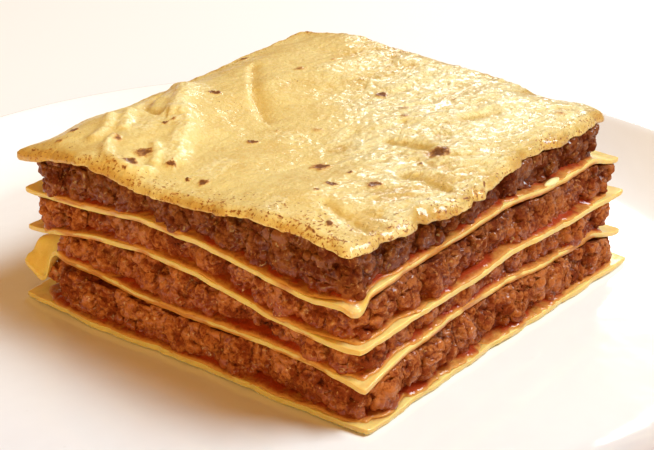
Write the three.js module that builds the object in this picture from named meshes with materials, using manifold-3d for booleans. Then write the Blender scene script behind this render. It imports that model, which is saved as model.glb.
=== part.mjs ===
// A square portion of baked beef lasagna on a round white plate. Millimetres, +Z up.
// The origin is on the plate's axis at the table. X and Y run along the portion's sides.
// The portion's front corner points to -X -Y, so its front side faces -Y and its left side -X.

import * as THREE from 'three';
import { mergeVertices } from 'three/addons/utils/BufferGeometryUtils.js';
import Module from 'manifold-3d';

const wasm = await Module();
wasm.setup();

// Plate
const PLATE_RADIUS = 133;
const PLATE_HEIGHT = 18.5;
const WELL_HEIGHT = 6.5;
const WELL_RADIUS = 101;
const PLATE_THICKNESS = 4;
const FOOT_OUTER_RADIUS = 78;
const FOOT_INNER_RADIUS = 72;
const FOOT_TAPER = 0.8;
const RIM_FLARE = 1.2;
const RIM_THINNING = 0.45;
const WALL_BEND = 0.35;
const PLATE_SEGMENTS = 56;
const WALL_STEPS = 5;

// Portion, measured on the bottom sheet
const LEFT = -52.3;
const FRONT = -62.4;
const LENGTH = 111.5;
const WIDTH = 110;

// Clearance between touching pieces, and the thickness of a boiled pasta sheet
const GAP = 0.35;
const SHEET_THICKNESS = 1.35;

// Grid lines of every layer, measured from the portion's left and front sides
const GRID_X = [-10, -2.5, 1, 4.5, 16, 35, 56, 78, 97, 108, 118].map((d) => LEFT + d);
const GRID_Y = [-9, 1.4, 6.2, 15.2, 30.2, 48.2, 66.2, 83.2, 98.8, 101.6, 117.2].map((d) => FRONT + d);
const FLOOR = -5;
const CEILING = 70;

// Each sheet from the bottom up. Rises are the heights of its underside above the well at equal
// steps: front from the front corner to the right one, left from the front corner to the left one.
// Reaches are how far its edge lies outside the bottom sheet's straight sides, at equal steps too.
// A tip is a corner that hangs down by drop within reach of the corner point. The folded sheet's
// left corner turns down over the side. Hidden sides run straight between corners, apart from a
// swell in the top's right side, and a hidden side's reach is given where it isn't half of the
// reach at its corner.
const SHEETS = [
  {
    name: 'pasta_sheet_1',
    front: [0, 0, 0, 0, 0, 0, 0, 0, 0],
    left: [0, 0, 0, 0, 0, 0, 0, 0, 0],
    back: 0,
    frontReach: [0.4, -0.6, -0.5, 0, 0.4],
    leftReach: [0.5, 1.8, 2.1, 3.9, 3],
    backReach: -3,
  },
  {
    name: 'pasta_sheet_2',
    front: [9.2, 11.3, 12.5, 12.5, 12.8, 11.8, 10.7, 10.8, 6.5],
    left: [9.2, 10.8, 11.1, 11.2, 9.8, 10.3, 11.6, 12.3, 9.8],
    back: 10.8,
    frontReach: [-0.6, -2.4, -2.6, -2.4, -2],
    leftReach: [0.6, 0.3, 0.3, 0.6, 0.6],
    rightReach: 0,
    folded: true,
  },
  {
    name: 'pasta_sheet_3',
    front: [18.4, 19.8, 20.1, 20.5, 21.6, 21.3, 20, 19.8, 18.4],
    left: [18.4, 17.8, 18.7, 20.9, 22.6, 22.2, 20.8, 18.2, 15.4],
    back: 21.3,
    frontReach: [-1.3, -0.8, -0.6, -1, -2],
    leftReach: [1, 0.6, 0.4, 0, -1],
    rightReach: 0,
    tips: [{ corner: 'left', drop: 1, reach: 9 }],
  },
  {
    name: 'pasta_sheet_4',
    front: [27.7, 30.3, 30.8, 31.5, 32.3, 30.3, 30.9, 30.7, 26.4],
    left: [27.7, 26.6, 27.7, 28.4, 30.9, 29.8, 28.2, 26.9, 26.3],
    back: 32,
    frontReach: [-3.4, -3.6, -3.6, -3.6, -3.8],
    leftReach: [1.3, 0.8, 0.4, -0.2, -1.1],
    rightReach: -0.6,
    tips: [{ corner: 'front', drop: 5.2, reach: 4.6 }],
  },
  {
    name: 'cheese_top',
    front: [39.9, 39.9, 39.6, 39.4, 40, 40, 40, 39.8, 38.8],
    left: [39.9, 41, 41.6, 39.7, 38.6, 38.4, 40.4, 38.3, 33.4],
    back: 42.3,
    frontReach: [-3.9, -2.4, -1.3, -0.8, -4, -5, -5, -5.4, -6.6],
    leftReach: [2, 1.8, 2, 2, 2, 1.6, 1.2, 0.8, 0.8],
    swell: 2.4,
  },
];

// Plan outline of a sheet: points per side, how far corners are cut back, and the edge's wobble
const CORNER_CUT = 0.013;
const PASTA_EDGE = { points: 8, wobble: 0.12 };
const TOP_EDGE = { points: 19, wobble: 0.45 };

// The folded corner: where it starts to turn down, over what width, how soon it hangs fully, over
// what length it rises again towards the corner point, and how far it hangs
const FOLD = { startX: LEFT + 2.8, width: 3, startY: FRONT + 98.8, ramp: 2.8, length: 20, drop: 7.2 };
const SWELL_SKEW = 1.6;

// Beef layers from the bottom up: how far each lies inside the bottom sheet's straight sides
const BEEF = [
  { name: 'beef_layer_1', front: 1.6, left: 0.6, right: 4.2, back: 6 },
  { name: 'beef_layer_2', front: 2.8, left: 0.4, right: 3.2, back: 7.6 },
  { name: 'beef_layer_3', front: 2.6, left: 0.4, right: 3.4, back: 2.2 },
  { name: 'beef_layer_4', front: 5, left: 0.2, right: 8, back: 3.4 },
];
const BEEF_CORNER_RADIUS = 8;

// Crumbs along a layer's edge: smaller on the sides in view, which lie within a band from the
// front and left. Spreads are shares of a size, and sink is how deep a crumb's centre lies.
const CORE_POINTS = 16;
const CORE_INSET = 3.4;
const SHOWN_BAND = 14;
const SHOWN_CRUMB = { spacing: 8.4, radius: 5.2 };
const HIDDEN_CRUMB = { spacing: 17, radius: 8.6 };
const CRUMB_SINK = 0.82;
const SINK_SPREAD = 0.16;
const SIZE_SPREAD = 0.2;
const FACET_SPREAD = 0.24;
const STRETCH_SPREAD = 0.15;
const CRUMB_LIFT = 1.6;

// Baked top: rim thickness, extra thickness of the cheese away from the edge, and its blisters,
// placed from the portion's left and front sides
const TOP_RIM_THICKNESS = 2.1;
const TOP_CROWN = 0.9;
const CROWN_RAMP = 9;
const TOP_GRID_STEPS = 15;
const TOP_GRID_MARGIN = 5;
const BLISTERS = [
  { x: 5, y: 76, radius: 6, rise: 0.9 },
  { x: 42, y: 99, radius: 13, rise: 1.5 },
  { x: 22, y: 103, radius: 15, rise: 2 },
  { x: 50, y: 75, radius: 12, rise: -0.7 },
  { x: 28, y: 33, radius: 10, rise: -0.6 },
  { x: 16, y: 55, radius: 11, rise: 0.8 },
  { x: 68, y: 37, radius: 11, rise: 0.8 },
  { x: 90, y: 31, radius: 12, rise: 0.9 },
  { x: 82, y: 73, radius: 12, rise: 0.8 },
  { x: 54, y: 17, radius: 8, rise: 0.7 },
  { x: 109, y: 89, radius: 14, rise: 1.3 },
];

const SEED = 11;

const colours = {
  plate: 0xf7f4ee,
  pasta: 0xe2a551,
  beef: 0x7b3a1d,
  cheese: 0xeccb7e,
};

const random = THREE.MathUtils.seededRandom;
const { clamp, lerp, smoothstep } = THREE.MathUtils;

function jitter(amount) {
  return (2 * random() - 1) * amount;
}

// A smooth curve through values at equal steps, for t from 0 to 1
function curveThrough(values) {
  const stations = values.map((_, i) => i / (values.length - 1));
  const curve = new THREE.CubicInterpolant(stations, values, 1);
  return (t) => curve.evaluate(clamp(t, 0, 1))[0];
}

function across(x) {
  return clamp((x - LEFT) / LENGTH, 0, 1);
}

function along(y) {
  return clamp((y - FRONT) / WIDTH, 0, 1);
}

const CORNERS = {
  front: new THREE.Vector2(LEFT, FRONT),
  left: new THREE.Vector2(LEFT, FRONT + WIDTH),
};

function tipDrop(tip, x, y) {
  const distance = CORNERS[tip.corner].distanceTo(new THREE.Vector2(x, y));
  return tip.drop * Math.max(0, 1 - distance / tip.reach);
}

function foldDrop(x, y) {
  const over = smoothstep(FOLD.startX - x, 0, FOLD.width);
  const past = y - FOLD.startY;
  const hanging = smoothstep(past, 0, FOLD.ramp) - Math.max(0, past - FOLD.ramp) / FOLD.length;
  return FOLD.drop * over * hanging;
}

// Height of a sheet's underside: a surface patch stretched between its four edges
function undersideOf(sheet) {
  const { back, tips = [], folded = false, swell = 0 } = sheet;
  const front = curveThrough(sheet.front);
  const left = curveThrough(sheet.left);
  const [atFront, atRight, atLeft] = [front(0), front(1), left(1)];
  return (x, y) => {
    const u = across(x);
    const v = along(y);
    const rightEdge = lerp(atRight, back, v) + swell * Math.sin(Math.PI * v ** SWELL_SKEW);
    const backEdge = lerp(atLeft, back, u);
    const ruled = lerp(front(u), backEdge, v) + lerp(left(v), rightEdge, u);
    const corners = lerp(lerp(atFront, atRight, u), backEdge, v);
    let height = ruled - corners;
    for (const tip of tips) {
      height -= tipDrop(tip, x, y);
    }
    if (folded) {
      height -= foldDrop(x, y);
    }
    return WELL_HEIGHT + GAP + height;
  };
}

// Height of the baked top's upper face
function crustOf(underside) {
  return (x, y) => {
    const toLeft = x - LEFT;
    const toFront = y - FRONT;
    const inside = Math.min(toLeft, LENGTH - toLeft, toFront, WIDTH - toFront);
    let thickness = TOP_RIM_THICKNESS + TOP_CROWN * smoothstep(inside, 0, CROWN_RAMP);
    for (const blister of BLISTERS) {
      const distance = Math.hypot(toLeft - blister.x, toFront - blister.y) / blister.radius;
      thickness += blister.rise * Math.max(0, 1 - distance ** 2);
    }
    return underside(x, y) + thickness;
  };
}

// The same surface with positions only and its shared vertices merged
function merge(geometry) {
  geometry.deleteAttribute('normal');
  geometry.deleteAttribute('uv');
  return mergeVertices(geometry, 1e-4);
}

function toManifold(geometry) {
  const merged = merge(geometry);
  const vertProperties = new Float32Array(merged.attributes.position.array);
  const triVerts = new Uint32Array(merged.index.array);
  return new wasm.Manifold(new wasm.Mesh({ numProp: 3, vertProperties, triVerts }));
}

function toMesh(solid, name, material) {
  const { vertProperties, triVerts } = solid.getMesh();
  const geometry = new THREE.BufferGeometry();
  geometry.setAttribute('position', new THREE.BufferAttribute(vertProperties, 3));
  geometry.setIndex(new THREE.BufferAttribute(triVerts, 1));
  geometry.computeVertexNormals();
  const mesh = new THREE.Mesh(geometry, material);
  mesh.name = name;
  return mesh;
}

// The closed solid between two height functions over a grid of lines
function between(lower, upper, linesX, linesY) {
  const columns = linesX.length;
  const rows = linesY.length;
  const positions = [];
  for (const height of [lower, upper]) {
    for (const y of linesY) {
      for (const x of linesX) {
        positions.push(x, y, height(x, y));
      }
    }
  }
  const below = (i, j) => j * columns + i;
  const above = (i, j) => rows * columns + below(i, j);
  const index = [];
  for (let j = 0; j < rows - 1; j += 1) {
    for (let i = 0; i < columns - 1; i += 1) {
      index.push(above(i, j), above(i + 1, j), above(i + 1, j + 1));
      index.push(above(i, j), above(i + 1, j + 1), above(i, j + 1));
      index.push(below(i, j), below(i + 1, j + 1), below(i + 1, j));
      index.push(below(i, j), below(i, j + 1), below(i + 1, j + 1));
    }
  }
  const wall = (a, b) => {
    index.push(below(...a), below(...b), above(...b));
    index.push(below(...a), above(...b), above(...a));
  };
  for (let i = 0; i < columns - 1; i += 1) {
    wall([i, 0], [i + 1, 0]);
    wall([i + 1, rows - 1], [i, rows - 1]);
  }
  for (let j = 0; j < rows - 1; j += 1) {
    wall([columns - 1, j], [columns - 1, j + 1]);
    wall([0, j + 1], [0, j]);
  }
  const geometry = new THREE.BufferGeometry();
  geometry.setAttribute('position', new THREE.Float32BufferAttribute(positions, 3));
  geometry.setIndex(index);
  return toManifold(geometry);
}

function upright(points) {
  const shape = new THREE.Shape(points);
  const options = { depth: CEILING - FLOOR, bevelEnabled: false, steps: 1 };
  const geometry = new THREE.ExtrudeGeometry(shape, options);
  geometry.translate(0, 0, FLOOR);
  return toManifold(geometry);
}

// A sheet's plan outline: four wavy sides, with each corner drawn back to round it
function sheetOutline(sheet, edge) {
  const frontReach = curveThrough(sheet.frontReach);
  const leftReach = curveThrough(sheet.leftReach);
  const { rightReach = frontReach(1) / 2, backReach = leftReach(1) / 2 } = sheet;
  const place = (u, v) => {
    const x = lerp(LEFT - leftReach(v), LEFT + LENGTH + rightReach, u);
    const y = lerp(FRONT - frontReach(u), FRONT + WIDTH + backReach, v);
    return new THREE.Vector2(x, y);
  };
  const sides = [
    (t) => place(t, 0),
    (t) => place(1, t),
    (t) => place(1 - t, 1),
    (t) => place(0, 1 - t),
  ];
  const points = [];
  sides.forEach((side, k) => {
    const next = sides[(k + 1) % sides.length];
    for (let i = 0; i < edge.points; i += 1) {
      const t = lerp(CORNER_CUT, 1 - CORNER_CUT, i / (edge.points - 1));
      const wobble = new THREE.Vector2(jitter(edge.wobble), jitter(edge.wobble));
      points.push(side(t).add(wobble));
    }
    const drawnBack = side(1 - CORNER_CUT).add(next(CORNER_CUT)).multiplyScalar(0.3);
    points.push(drawnBack.addScaledVector(side(1), 0.4));
  });
  return points;
}

// The rounded rectangle that a beef layer's crumbs reach out to
function beefEdge(layer) {
  const x0 = LEFT + layer.left;
  const x1 = LEFT + LENGTH - layer.right;
  const y0 = FRONT + layer.front;
  const y1 = FRONT + WIDTH - layer.back;
  const r = BEEF_CORNER_RADIUS;
  const outline = new THREE.Path();
  outline.moveTo(x0 + r, y0);
  outline.lineTo(x1 - r, y0);
  outline.absarc(x1 - r, y0 + r, r, -Math.PI / 2, 0);
  outline.lineTo(x1, y1 - r);
  outline.absarc(x1 - r, y1 - r, r, 0, Math.PI / 2);
  outline.lineTo(x0 + r, y1);
  outline.absarc(x0 + r, y1 - r, r, Math.PI / 2, Math.PI);
  outline.lineTo(x0, y0 + r);
  outline.absarc(x0 + r, y0 + r, r, Math.PI, 1.5 * Math.PI);
  return outline;
}

// One crumb of beef: a twenty-sided lump, uneven, turned and stretched
function crumb(centre, radius) {
  const geometry = merge(new THREE.IcosahedronGeometry(radius, 0));
  const position = geometry.attributes.position;
  const corner = new THREE.Vector3();
  for (let i = 0; i < position.count; i += 1) {
    corner.fromBufferAttribute(position, i).multiplyScalar(1 + jitter(FACET_SPREAD));
    position.setXYZ(i, ...corner);
  }
  geometry.rotateX(random() * Math.PI);
  geometry.rotateY(random() * Math.PI);
  const stretch = () => 1 + jitter(STRETCH_SPREAD);
  geometry.scale(stretch(), stretch(), stretch());
  geometry.translate(centre.x, centre.y, centre.z);
  return toManifold(geometry);
}

function beefCore(edge) {
  const middle = new THREE.Vector2(LEFT + LENGTH / 2, FRONT + WIDTH / 2);
  const points = edge.getSpacedPoints(CORE_POINTS).slice(0, -1);
  return upright(points.map((point) => {
    const inward = middle.clone().sub(point).setLength(CORE_INSET);
    return point.add(inward);
  }));
}

function beefCrumbs(edge, floor, roof) {
  const crumbs = [];
  const length = edge.getLength();
  let travelled = 0;
  while (travelled < length) {
    const point = edge.getPointAt(travelled / length);
    const tangent = edge.getTangentAt(travelled / length);
    const shown = point.y < FRONT + SHOWN_BAND || point.x < LEFT + SHOWN_BAND;
    const size = shown ? SHOWN_CRUMB : HIDDEN_CRUMB;
    const radius = size.radius * (1 + jitter(SIZE_SPREAD));
    const sink = radius * (CRUMB_SINK + jitter(SINK_SPREAD));
    const x = point.x - tangent.y * sink;
    const y = point.y + tangent.x * sink;
    const z = (floor(x, y) + roof(x, y)) / 2 + jitter(CRUMB_LIFT);
    crumbs.push(crumb(new THREE.Vector3(x, y, z), radius));
    travelled += size.spacing * (1 + jitter(SIZE_SPREAD));
  }
  return crumbs;
}

// Beef between two sheets: a core with crumbs along its edge, cut to the space it has
function beefLayer(layer, floor, roof) {
  const edge = beefEdge(layer);
  const pieces = [beefCore(edge), ...beefCrumbs(edge, floor, roof)];
  const lowest = (x, y) => floor(x, y) + GAP;
  const highest = (x, y) => roof(x, y) - GAP;
  const space = between(lowest, highest, GRID_X, GRID_Y);
  return wasm.Manifold.union(pieces).intersect(space);
}

function pastaSheet(sheet) {
  const underside = undersideOf(sheet);
  const upper = (x, y) => underside(x, y) + SHEET_THICKNESS;
  const slab = between(underside, upper, GRID_X, GRID_Y);
  return slab.intersect(upright(sheetOutline(sheet, PASTA_EDGE)));
}

function bakedTop(sheet) {
  const underside = undersideOf(sheet);
  const steps = Array.from({ length: TOP_GRID_STEPS + 1 }, (_, i) => i / TOP_GRID_STEPS);
  const lines = (start, size) => steps.map((t) =>
    lerp(start - TOP_GRID_MARGIN, start + size + TOP_GRID_MARGIN, t));
  const fineX = lines(LEFT, LENGTH);
  const fineY = lines(FRONT, WIDTH);
  const aboveUnderside = between(underside, () => CEILING, GRID_X, GRID_Y);
  const belowCrust = between(() => FLOOR, crustOf(underside), fineX, fineY);
  const outline = upright(sheetOutline(sheet, TOP_EDGE));
  return aboveUnderside.intersect(belowCrust).intersect(outline);
}

// The plate: a coupe shape with a flat well, an upturned wall, a rounded rim and a foot ring
function plateGeometry() {
  const wallWidth = PLATE_RADIUS - PLATE_THICKNESS / 2 - WELL_RADIUS;
  const wallRise = PLATE_HEIGHT - WELL_HEIGHT;
  const inner = [];
  const outer = [];
  for (let i = 0; i <= WALL_STEPS; i += 1) {
    const t = i / WALL_STEPS;
    const radius = WELL_RADIUS + wallWidth * t;
    const height = WELL_HEIGHT + wallRise * t ** 2 * (1 + WALL_BEND * (1 - t));
    const thickness = PLATE_THICKNESS * (1 - RIM_THINNING * t);
    inner.push(new THREE.Vector2(radius, height));
    outer.push(new THREE.Vector2(radius + RIM_FLARE * t, height - thickness));
  }
  const underside = WELL_HEIGHT - PLATE_THICKNESS;
  const profile = [
    new THREE.Vector2(0, underside),
    new THREE.Vector2(FOOT_INNER_RADIUS, underside),
    new THREE.Vector2(FOOT_INNER_RADIUS + FOOT_TAPER, 0),
    new THREE.Vector2(FOOT_OUTER_RADIUS - FOOT_TAPER, 0),
    new THREE.Vector2(FOOT_OUTER_RADIUS, underside),
    ...outer,
    new THREE.Vector2(PLATE_RADIUS, PLATE_HEIGHT - FOOT_TAPER),
    ...inner.reverse(),
    new THREE.Vector2(0, WELL_HEIGHT),
  ];
  return new THREE.LatheGeometry(profile, PLATE_SEGMENTS).rotateX(Math.PI / 2);
}

function build() {
  const glaze = new THREE.MeshStandardMaterial({ color: colours.plate, roughness: 0.2 });
  const pasta = new THREE.MeshStandardMaterial({ color: colours.pasta, roughness: 0.45 });
  const beef = new THREE.MeshStandardMaterial({ color: colours.beef, roughness: 0.4 });
  const cheese = new THREE.MeshStandardMaterial({ color: colours.cheese, roughness: 0.45 });
  for (const material of [pasta, beef, cheese]) {
    material.flatShading = true;
  }
  random(SEED);

  const dish = new THREE.Group();
  dish.name = 'plate_of_beef_lasagna';
  dish.add(toMesh(toManifold(plateGeometry()), 'plate', glaze));
  const top = SHEETS.at(-1);
  for (const sheet of SHEETS.slice(0, -1)) {
    dish.add(toMesh(pastaSheet(sheet), sheet.name, pasta));
  }
  dish.add(toMesh(bakedTop(top), top.name, cheese));
  BEEF.forEach((layer, i) => {
    const sheetBelow = undersideOf(SHEETS[i]);
    const floor = (x, y) => sheetBelow(x, y) + SHEET_THICKNESS;
    const roof = undersideOf(SHEETS[i + 1]);
    dish.add(toMesh(beefLayer(layer, floor, roof), layer.name, beef));
  });
  return dish;
}

export default build();
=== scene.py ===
"""A square portion of baked beef lasagna on a round white plate.

Lengths in the functions are millimetres, and become metres where a mesh is made.
The portion's front corner points to -X -Y, so its front side faces -Y and its left side -X.
"""

import bmesh
import bpy
import numpy as np
from bpy.props import FloatProperty, FloatVectorProperty, IntProperty, PointerProperty
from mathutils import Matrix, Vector


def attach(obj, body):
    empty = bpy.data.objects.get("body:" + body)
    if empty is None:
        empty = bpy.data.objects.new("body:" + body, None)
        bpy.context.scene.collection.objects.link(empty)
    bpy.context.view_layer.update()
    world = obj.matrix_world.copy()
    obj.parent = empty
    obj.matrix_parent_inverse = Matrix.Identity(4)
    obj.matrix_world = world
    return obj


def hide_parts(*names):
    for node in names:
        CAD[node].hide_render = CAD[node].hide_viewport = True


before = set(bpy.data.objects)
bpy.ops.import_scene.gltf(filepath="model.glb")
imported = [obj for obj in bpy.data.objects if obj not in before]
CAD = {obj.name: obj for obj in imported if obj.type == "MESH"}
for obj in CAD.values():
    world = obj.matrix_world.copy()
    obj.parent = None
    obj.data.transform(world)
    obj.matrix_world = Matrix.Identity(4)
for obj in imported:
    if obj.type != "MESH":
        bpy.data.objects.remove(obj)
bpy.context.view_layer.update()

bl_info = {
    "name": "Plate of Beef Lasagna",
    "version": (1, 0, 0),
    "blender": (4, 5, 0),
    "location": "3D View > Sidebar > Lasagna",
    "description": "Makes the pasta, beef, sauce, baked cheese and plate of a portion of lasagna",
    "category": "Add Mesh",
}

MM = 0.001
BODY = "root"
SHEET_NODES = ["pasta_sheet_1", "pasta_sheet_2", "pasta_sheet_3", "pasta_sheet_4"]
BEEF_NODES = ["beef_layer_1", "beef_layer_2", "beef_layer_3", "beef_layer_4"]
TOP_NODE = "cheese_top"

# The portion's middle in plan, and half its side
MIDDLE = np.array([3.5, -7.4])
HALF_SIDE = 55.0

# Plate
PLATE_HEIGHT = 18.5
WELL_HEIGHT = 6.5
WELL_RADIUS = 101
WALL_TOP_RADIUS = 131
CHINA_THICKNESS = 4
UNDERSIDE = WELL_HEIGHT - CHINA_THICKNESS
RIM_MIDDLE = (131.6, 17.2)
RIM_ROUND = 1.36
# Radius and height along the foot ring's section, from its inner to its outer side
FOOT = [
    (71, 2.5), (71.8, 2.3), (72.3, 1.7), (72.7, 0.5), (73.2, 0.1), (74, 0),
    (76.2, 0), (77, 0.15), (77.5, 0.6), (77.9, 1.7), (78.5, 2.3), (79.6, 2.5),
]
BARE_CLAY = (0.62, 0.56, 0.47)
SPECK_COLOUR = (0.62, 0.56, 0.48)

# Camera, in metres, found from the portion's corners in the photograph
CAMERA_PLACE = (-0.25276, -0.2158, 0.1658)
CAMERA_WAY = (0.7077, 0.5811, -0.4019)
CAMERA_RIGHT = np.array([0.6346, -0.7729])
CAMERA_LENS = 77.06


# Numbers that vary over space

def scattered(cell, seed):
    """A repeatable number from 0 to 1 for each cell of a lattice."""
    n = cell.astype(np.int64).astype(np.uint32)
    n = n[:, 0] * np.uint32(73856093) ^ n[:, 1] * np.uint32(19349663) ^ n[:, 2] * np.uint32(83492791)
    n ^= np.uint32(seed * 9781 + 17)
    n ^= n >> np.uint32(15)
    n *= np.uint32(2246822519)
    n ^= n >> np.uint32(13)
    n *= np.uint32(3266489917)
    n ^= n >> np.uint32(16)
    return n / 4294967295.0


def ripple(points, size, seed, octaves=1):
    """Smooth waves from -1 to 1, about size across, with finer ones added by each further octave."""
    total = np.zeros(len(points))
    for octave in range(octaves):
        place = points / size * 2**octave
        cell = np.floor(place)
        local = place - cell
        blend = local**3 * (local * (local * 6 - 15) + 10)
        value = np.zeros(len(points))
        for corner in np.ndindex(2, 2, 2):
            share = np.prod(np.where(corner, blend, 1 - blend), axis=1)
            value += share * scattered(cell + corner, seed + octave)
        total += (2 * value - 1) / 2**octave
    return total / (2 - 2 ** (1 - octaves))


def sway(points, size, seed, octaves, ways):
    """Smooth waves to shift points by, in as many ways at right angles."""
    return np.column_stack([ripple(points, size, seed + k, octaves) for k in range(ways)])


def ridges(points, size, seed, octaves):
    """Crinkled crests of height 1, with the dips between them down to about -1."""
    return 1 - 2.4 * np.abs(ripple(points, size, seed, octaves))


def pebbles(points, size, seed):
    """How far each point is from the nearest and the second nearest of loosely packed centres."""
    place = points / size
    cell = np.floor(place)
    nearest = np.full(len(points), 9.0)
    second = nearest.copy()
    for step in np.ndindex(3, 3, 3):
        near = cell + step - 1
        centre = near + np.column_stack([scattered(near, seed + k) for k in range(3)])
        gap = np.linalg.norm(place - centre, axis=1)
        second = np.minimum(second, np.maximum(nearest, gap))
        nearest = np.minimum(nearest, gap)
    return nearest, second


def granules(points, size, seed):
    """Tightly packed round grains: how high each point lies on its grain, from -1 in the gaps to 1."""
    nearest, _ = pebbles(points, size, seed)
    return 2 * np.sqrt(1 - np.clip(nearest / 0.85, 0, 1) ** 2) - 1


def ramp(value, start, end):
    """A smooth step from 0 at start to 1 at end."""
    share = np.clip((value - start) / (end - start), 0, 1)
    return share * share * (3 - 2 * share)


def in_space(x, y, z=0.0):
    return np.column_stack(np.broadcast_arrays(x, y, z)).astype(float)


# Reading the solids

def faces_of(node):
    """A CAD node's triangles as corner positions in millimetres, with their normals."""
    mesh = CAD[node].data
    corners = np.array([v.co for v in mesh.vertices]) / MM
    faces = np.array([p.vertices for p in mesh.polygons])
    normals = np.array([p.normal for p in mesh.polygons])
    return corners[faces], normals


class Surface:
    """A smooth sheet of heights stretched through points, as a thin plate would bend."""

    def __init__(self, points, softness):
        self.places = points[:, :2] / HALF_SIDE
        count = len(points)
        flat = np.column_stack([np.ones(count), self.places])
        pull = self.bend(self.places) + softness * np.eye(count)
        system = np.block([[pull, flat], [flat.T, np.zeros((3, 3))]])
        self.weights = np.linalg.solve(system, np.append(points[:, 2], [0, 0, 0]))

    def bend(self, places):
        square = ((places[:, None, :] - self.places[None, :, :]) ** 2).sum(2)
        return square * np.log(square + 1e-12)

    def height(self, plan):
        places = plan / HALF_SIDE
        parts = np.array_split(places, len(places) // 4096 + 1)
        bends = np.concatenate([self.bend(part) @ self.weights[:-3] for part in parts])
        return bends + self.weights[-3] + places @ self.weights[-2:]


def surface_of(node, side, softness=2e-4):
    """The upper (side 1) or lower (side -1) face of a sheet node."""
    corners, normals = faces_of(node)
    points = corners[normals[:, 2] * side > 0.3].reshape(-1, 3)
    return Surface(np.unique(points.round(3), axis=0), softness)


class Outline:
    """A closed line in plan around the portion's middle."""

    def __init__(self, points):
        turn, reach = polar(points)
        order = np.argsort(turn)
        self.turn = turn[order]
        self.reach = reach[order]

    def reach_at(self, turn):
        return np.interp(turn, self.turn, self.reach, period=2 * np.pi)

    def walk(self, step, ease):
        """Points at equal steps along the line, with its corners eased."""
        fine = self.points(np.linspace(-np.pi, np.pi, 7200, endpoint=False))
        hops = np.linalg.norm(np.roll(fine, -1, axis=0) - fine, axis=1)
        along = np.append(0, np.cumsum(hops))
        count = round(along[-1] / step / 8) * 8
        stations = np.arange(count) * along[-1] / count
        closed = np.vstack([fine, fine[:1]])
        walked = np.column_stack([np.interp(stations, along, closed[:, k]) for k in range(2)])
        return eased(walked, ease / step)

    def points(self, turn):
        return MIDDLE + self.reach_at(turn)[:, None] * np.column_stack([np.cos(turn), np.sin(turn)])


def eased(values, width):
    """Values around a closed line, blurred over a width given in steps."""
    count = len(values)
    gap = np.minimum(np.arange(count), count - np.arange(count))
    blur = np.exp(-0.5 * (gap / width) ** 2)
    blur = np.fft.fft(blur / blur.sum())
    shape = (-1,) + (1,) * (values.ndim - 1)
    return np.fft.ifft(np.fft.fft(values, axis=0) * blur.reshape(shape), axis=0).real


def outline_of(node):
    """The plan outline of a sheet node, from its upright edge faces."""
    corners, normals = faces_of(node)
    points = corners[np.abs(normals[:, 2]) < 0.2].reshape(-1, 3)[:, :2]
    return Outline(np.unique(points.round(2), axis=0))


def pointed(line, reach, width):
    """A line in plan with its four corners drawn out to sharper points."""
    local = line - MIDDLE
    corners = [np.argmax(local @ way) for way in ([-1, -1], [1, -1], [1, 1], [-1, 1])]
    moved = line.copy()
    for corner in line[corners]:
        way = (corner - MIDDLE) / np.linalg.norm(corner - MIDDLE)
        gap = np.linalg.norm(line - corner, axis=1)
        moved += (reach * np.exp(-gap / width))[:, None] * way
    return moved


def polar(plan):
    """The direction and the distance of points in plan from the portion's middle."""
    offset = plan - MIDDLE
    return np.arctan2(offset[:, 1], offset[:, 0]), np.linalg.norm(offset, axis=1)


# Making meshes

def placed(name, data):
    """A new object at the origin, in the scene."""
    made = bpy.data.objects.new(name, data)
    bpy.context.scene.collection.objects.link(made)
    return made


def new_piece(name, points, faces, material=None):
    """A smooth-shaded object at the origin from points in millimetres."""
    mesh = bpy.data.meshes.new(name)
    mesh.from_pydata((np.asarray(points) * MM).tolist(), [], faces)
    mesh.validate()
    if material:
        mesh.materials.append(material)
    mesh.shade_smooth()
    return placed(name, mesh)


def paint(piece, name, values):
    """Keeps a number at each point of a piece, for its material to read."""
    layer = piece.data.attributes.new(name, "FLOAT", "POINT")
    layer.data.foreach_set("value", np.asarray(values, np.float32))


def points_of(piece):
    flat = np.empty(len(piece.data.vertices) * 3, np.float32)
    piece.data.vertices.foreach_get("co", flat)
    return flat.reshape(-1, 3).astype(float) / MM


def normals_of(piece):
    flat = np.empty(len(piece.data.vertices) * 3, np.float32)
    piece.data.vertex_normals.foreach_get("vector", flat)
    return flat.reshape(-1, 3).astype(float)


def move_points(piece, points):
    piece.data.vertices.foreach_set("co", (points * MM).astype(np.float32).ravel())
    piece.data.update()


def ring_faces(rings, count, closed=False):
    """Quads between rings of count points each, from the top's middle down, then last to first if closed."""
    index = np.arange(count)
    after = (index + 1) % count
    row = np.arange(rings - (not closed))[:, None] * count
    under = (row + count) % (rings * count)
    quads = np.stack([row + index, under + index, under + after, row + after], axis=-1)
    return quads.reshape(-1, 4).tolist()


def closed_rings(rings):
    """Points and faces of a solid of stacked rings, closed by a middle point at each end."""
    count = len(rings[0])
    points = np.vstack([*rings, rings[0].mean(0), rings[-1].mean(0)])
    first, last = len(points) - 2, len(points) - 1
    final = (len(rings) - 1) * count
    faces = ring_faces(len(rings), count)
    for i in range(count):
        after = (i + 1) % count
        faces.append((first, i, after))
        faces.append((last, final + after, final + i))
    return points, faces


def plain_copy(piece, name):
    """What a piece's modifiers make of it, as a plain mesh object without them."""
    seen = piece.evaluated_get(bpy.context.evaluated_depsgraph_get())
    return placed(name, bpy.data.meshes.new_from_object(seen))


def discard(piece):
    mesh = piece.data
    bpy.data.objects.remove(piece)
    bpy.data.meshes.remove(mesh)


def through(piece, name, kind, **settings):
    """The plain mesh that one modifier makes of a piece, which is then thrown away."""
    modifier = piece.modifiers.new(name, kind)
    for setting, value in settings.items():
        setattr(modifier, setting, value)
    made = plain_copy(piece, name)
    discard(piece)
    return made


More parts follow.
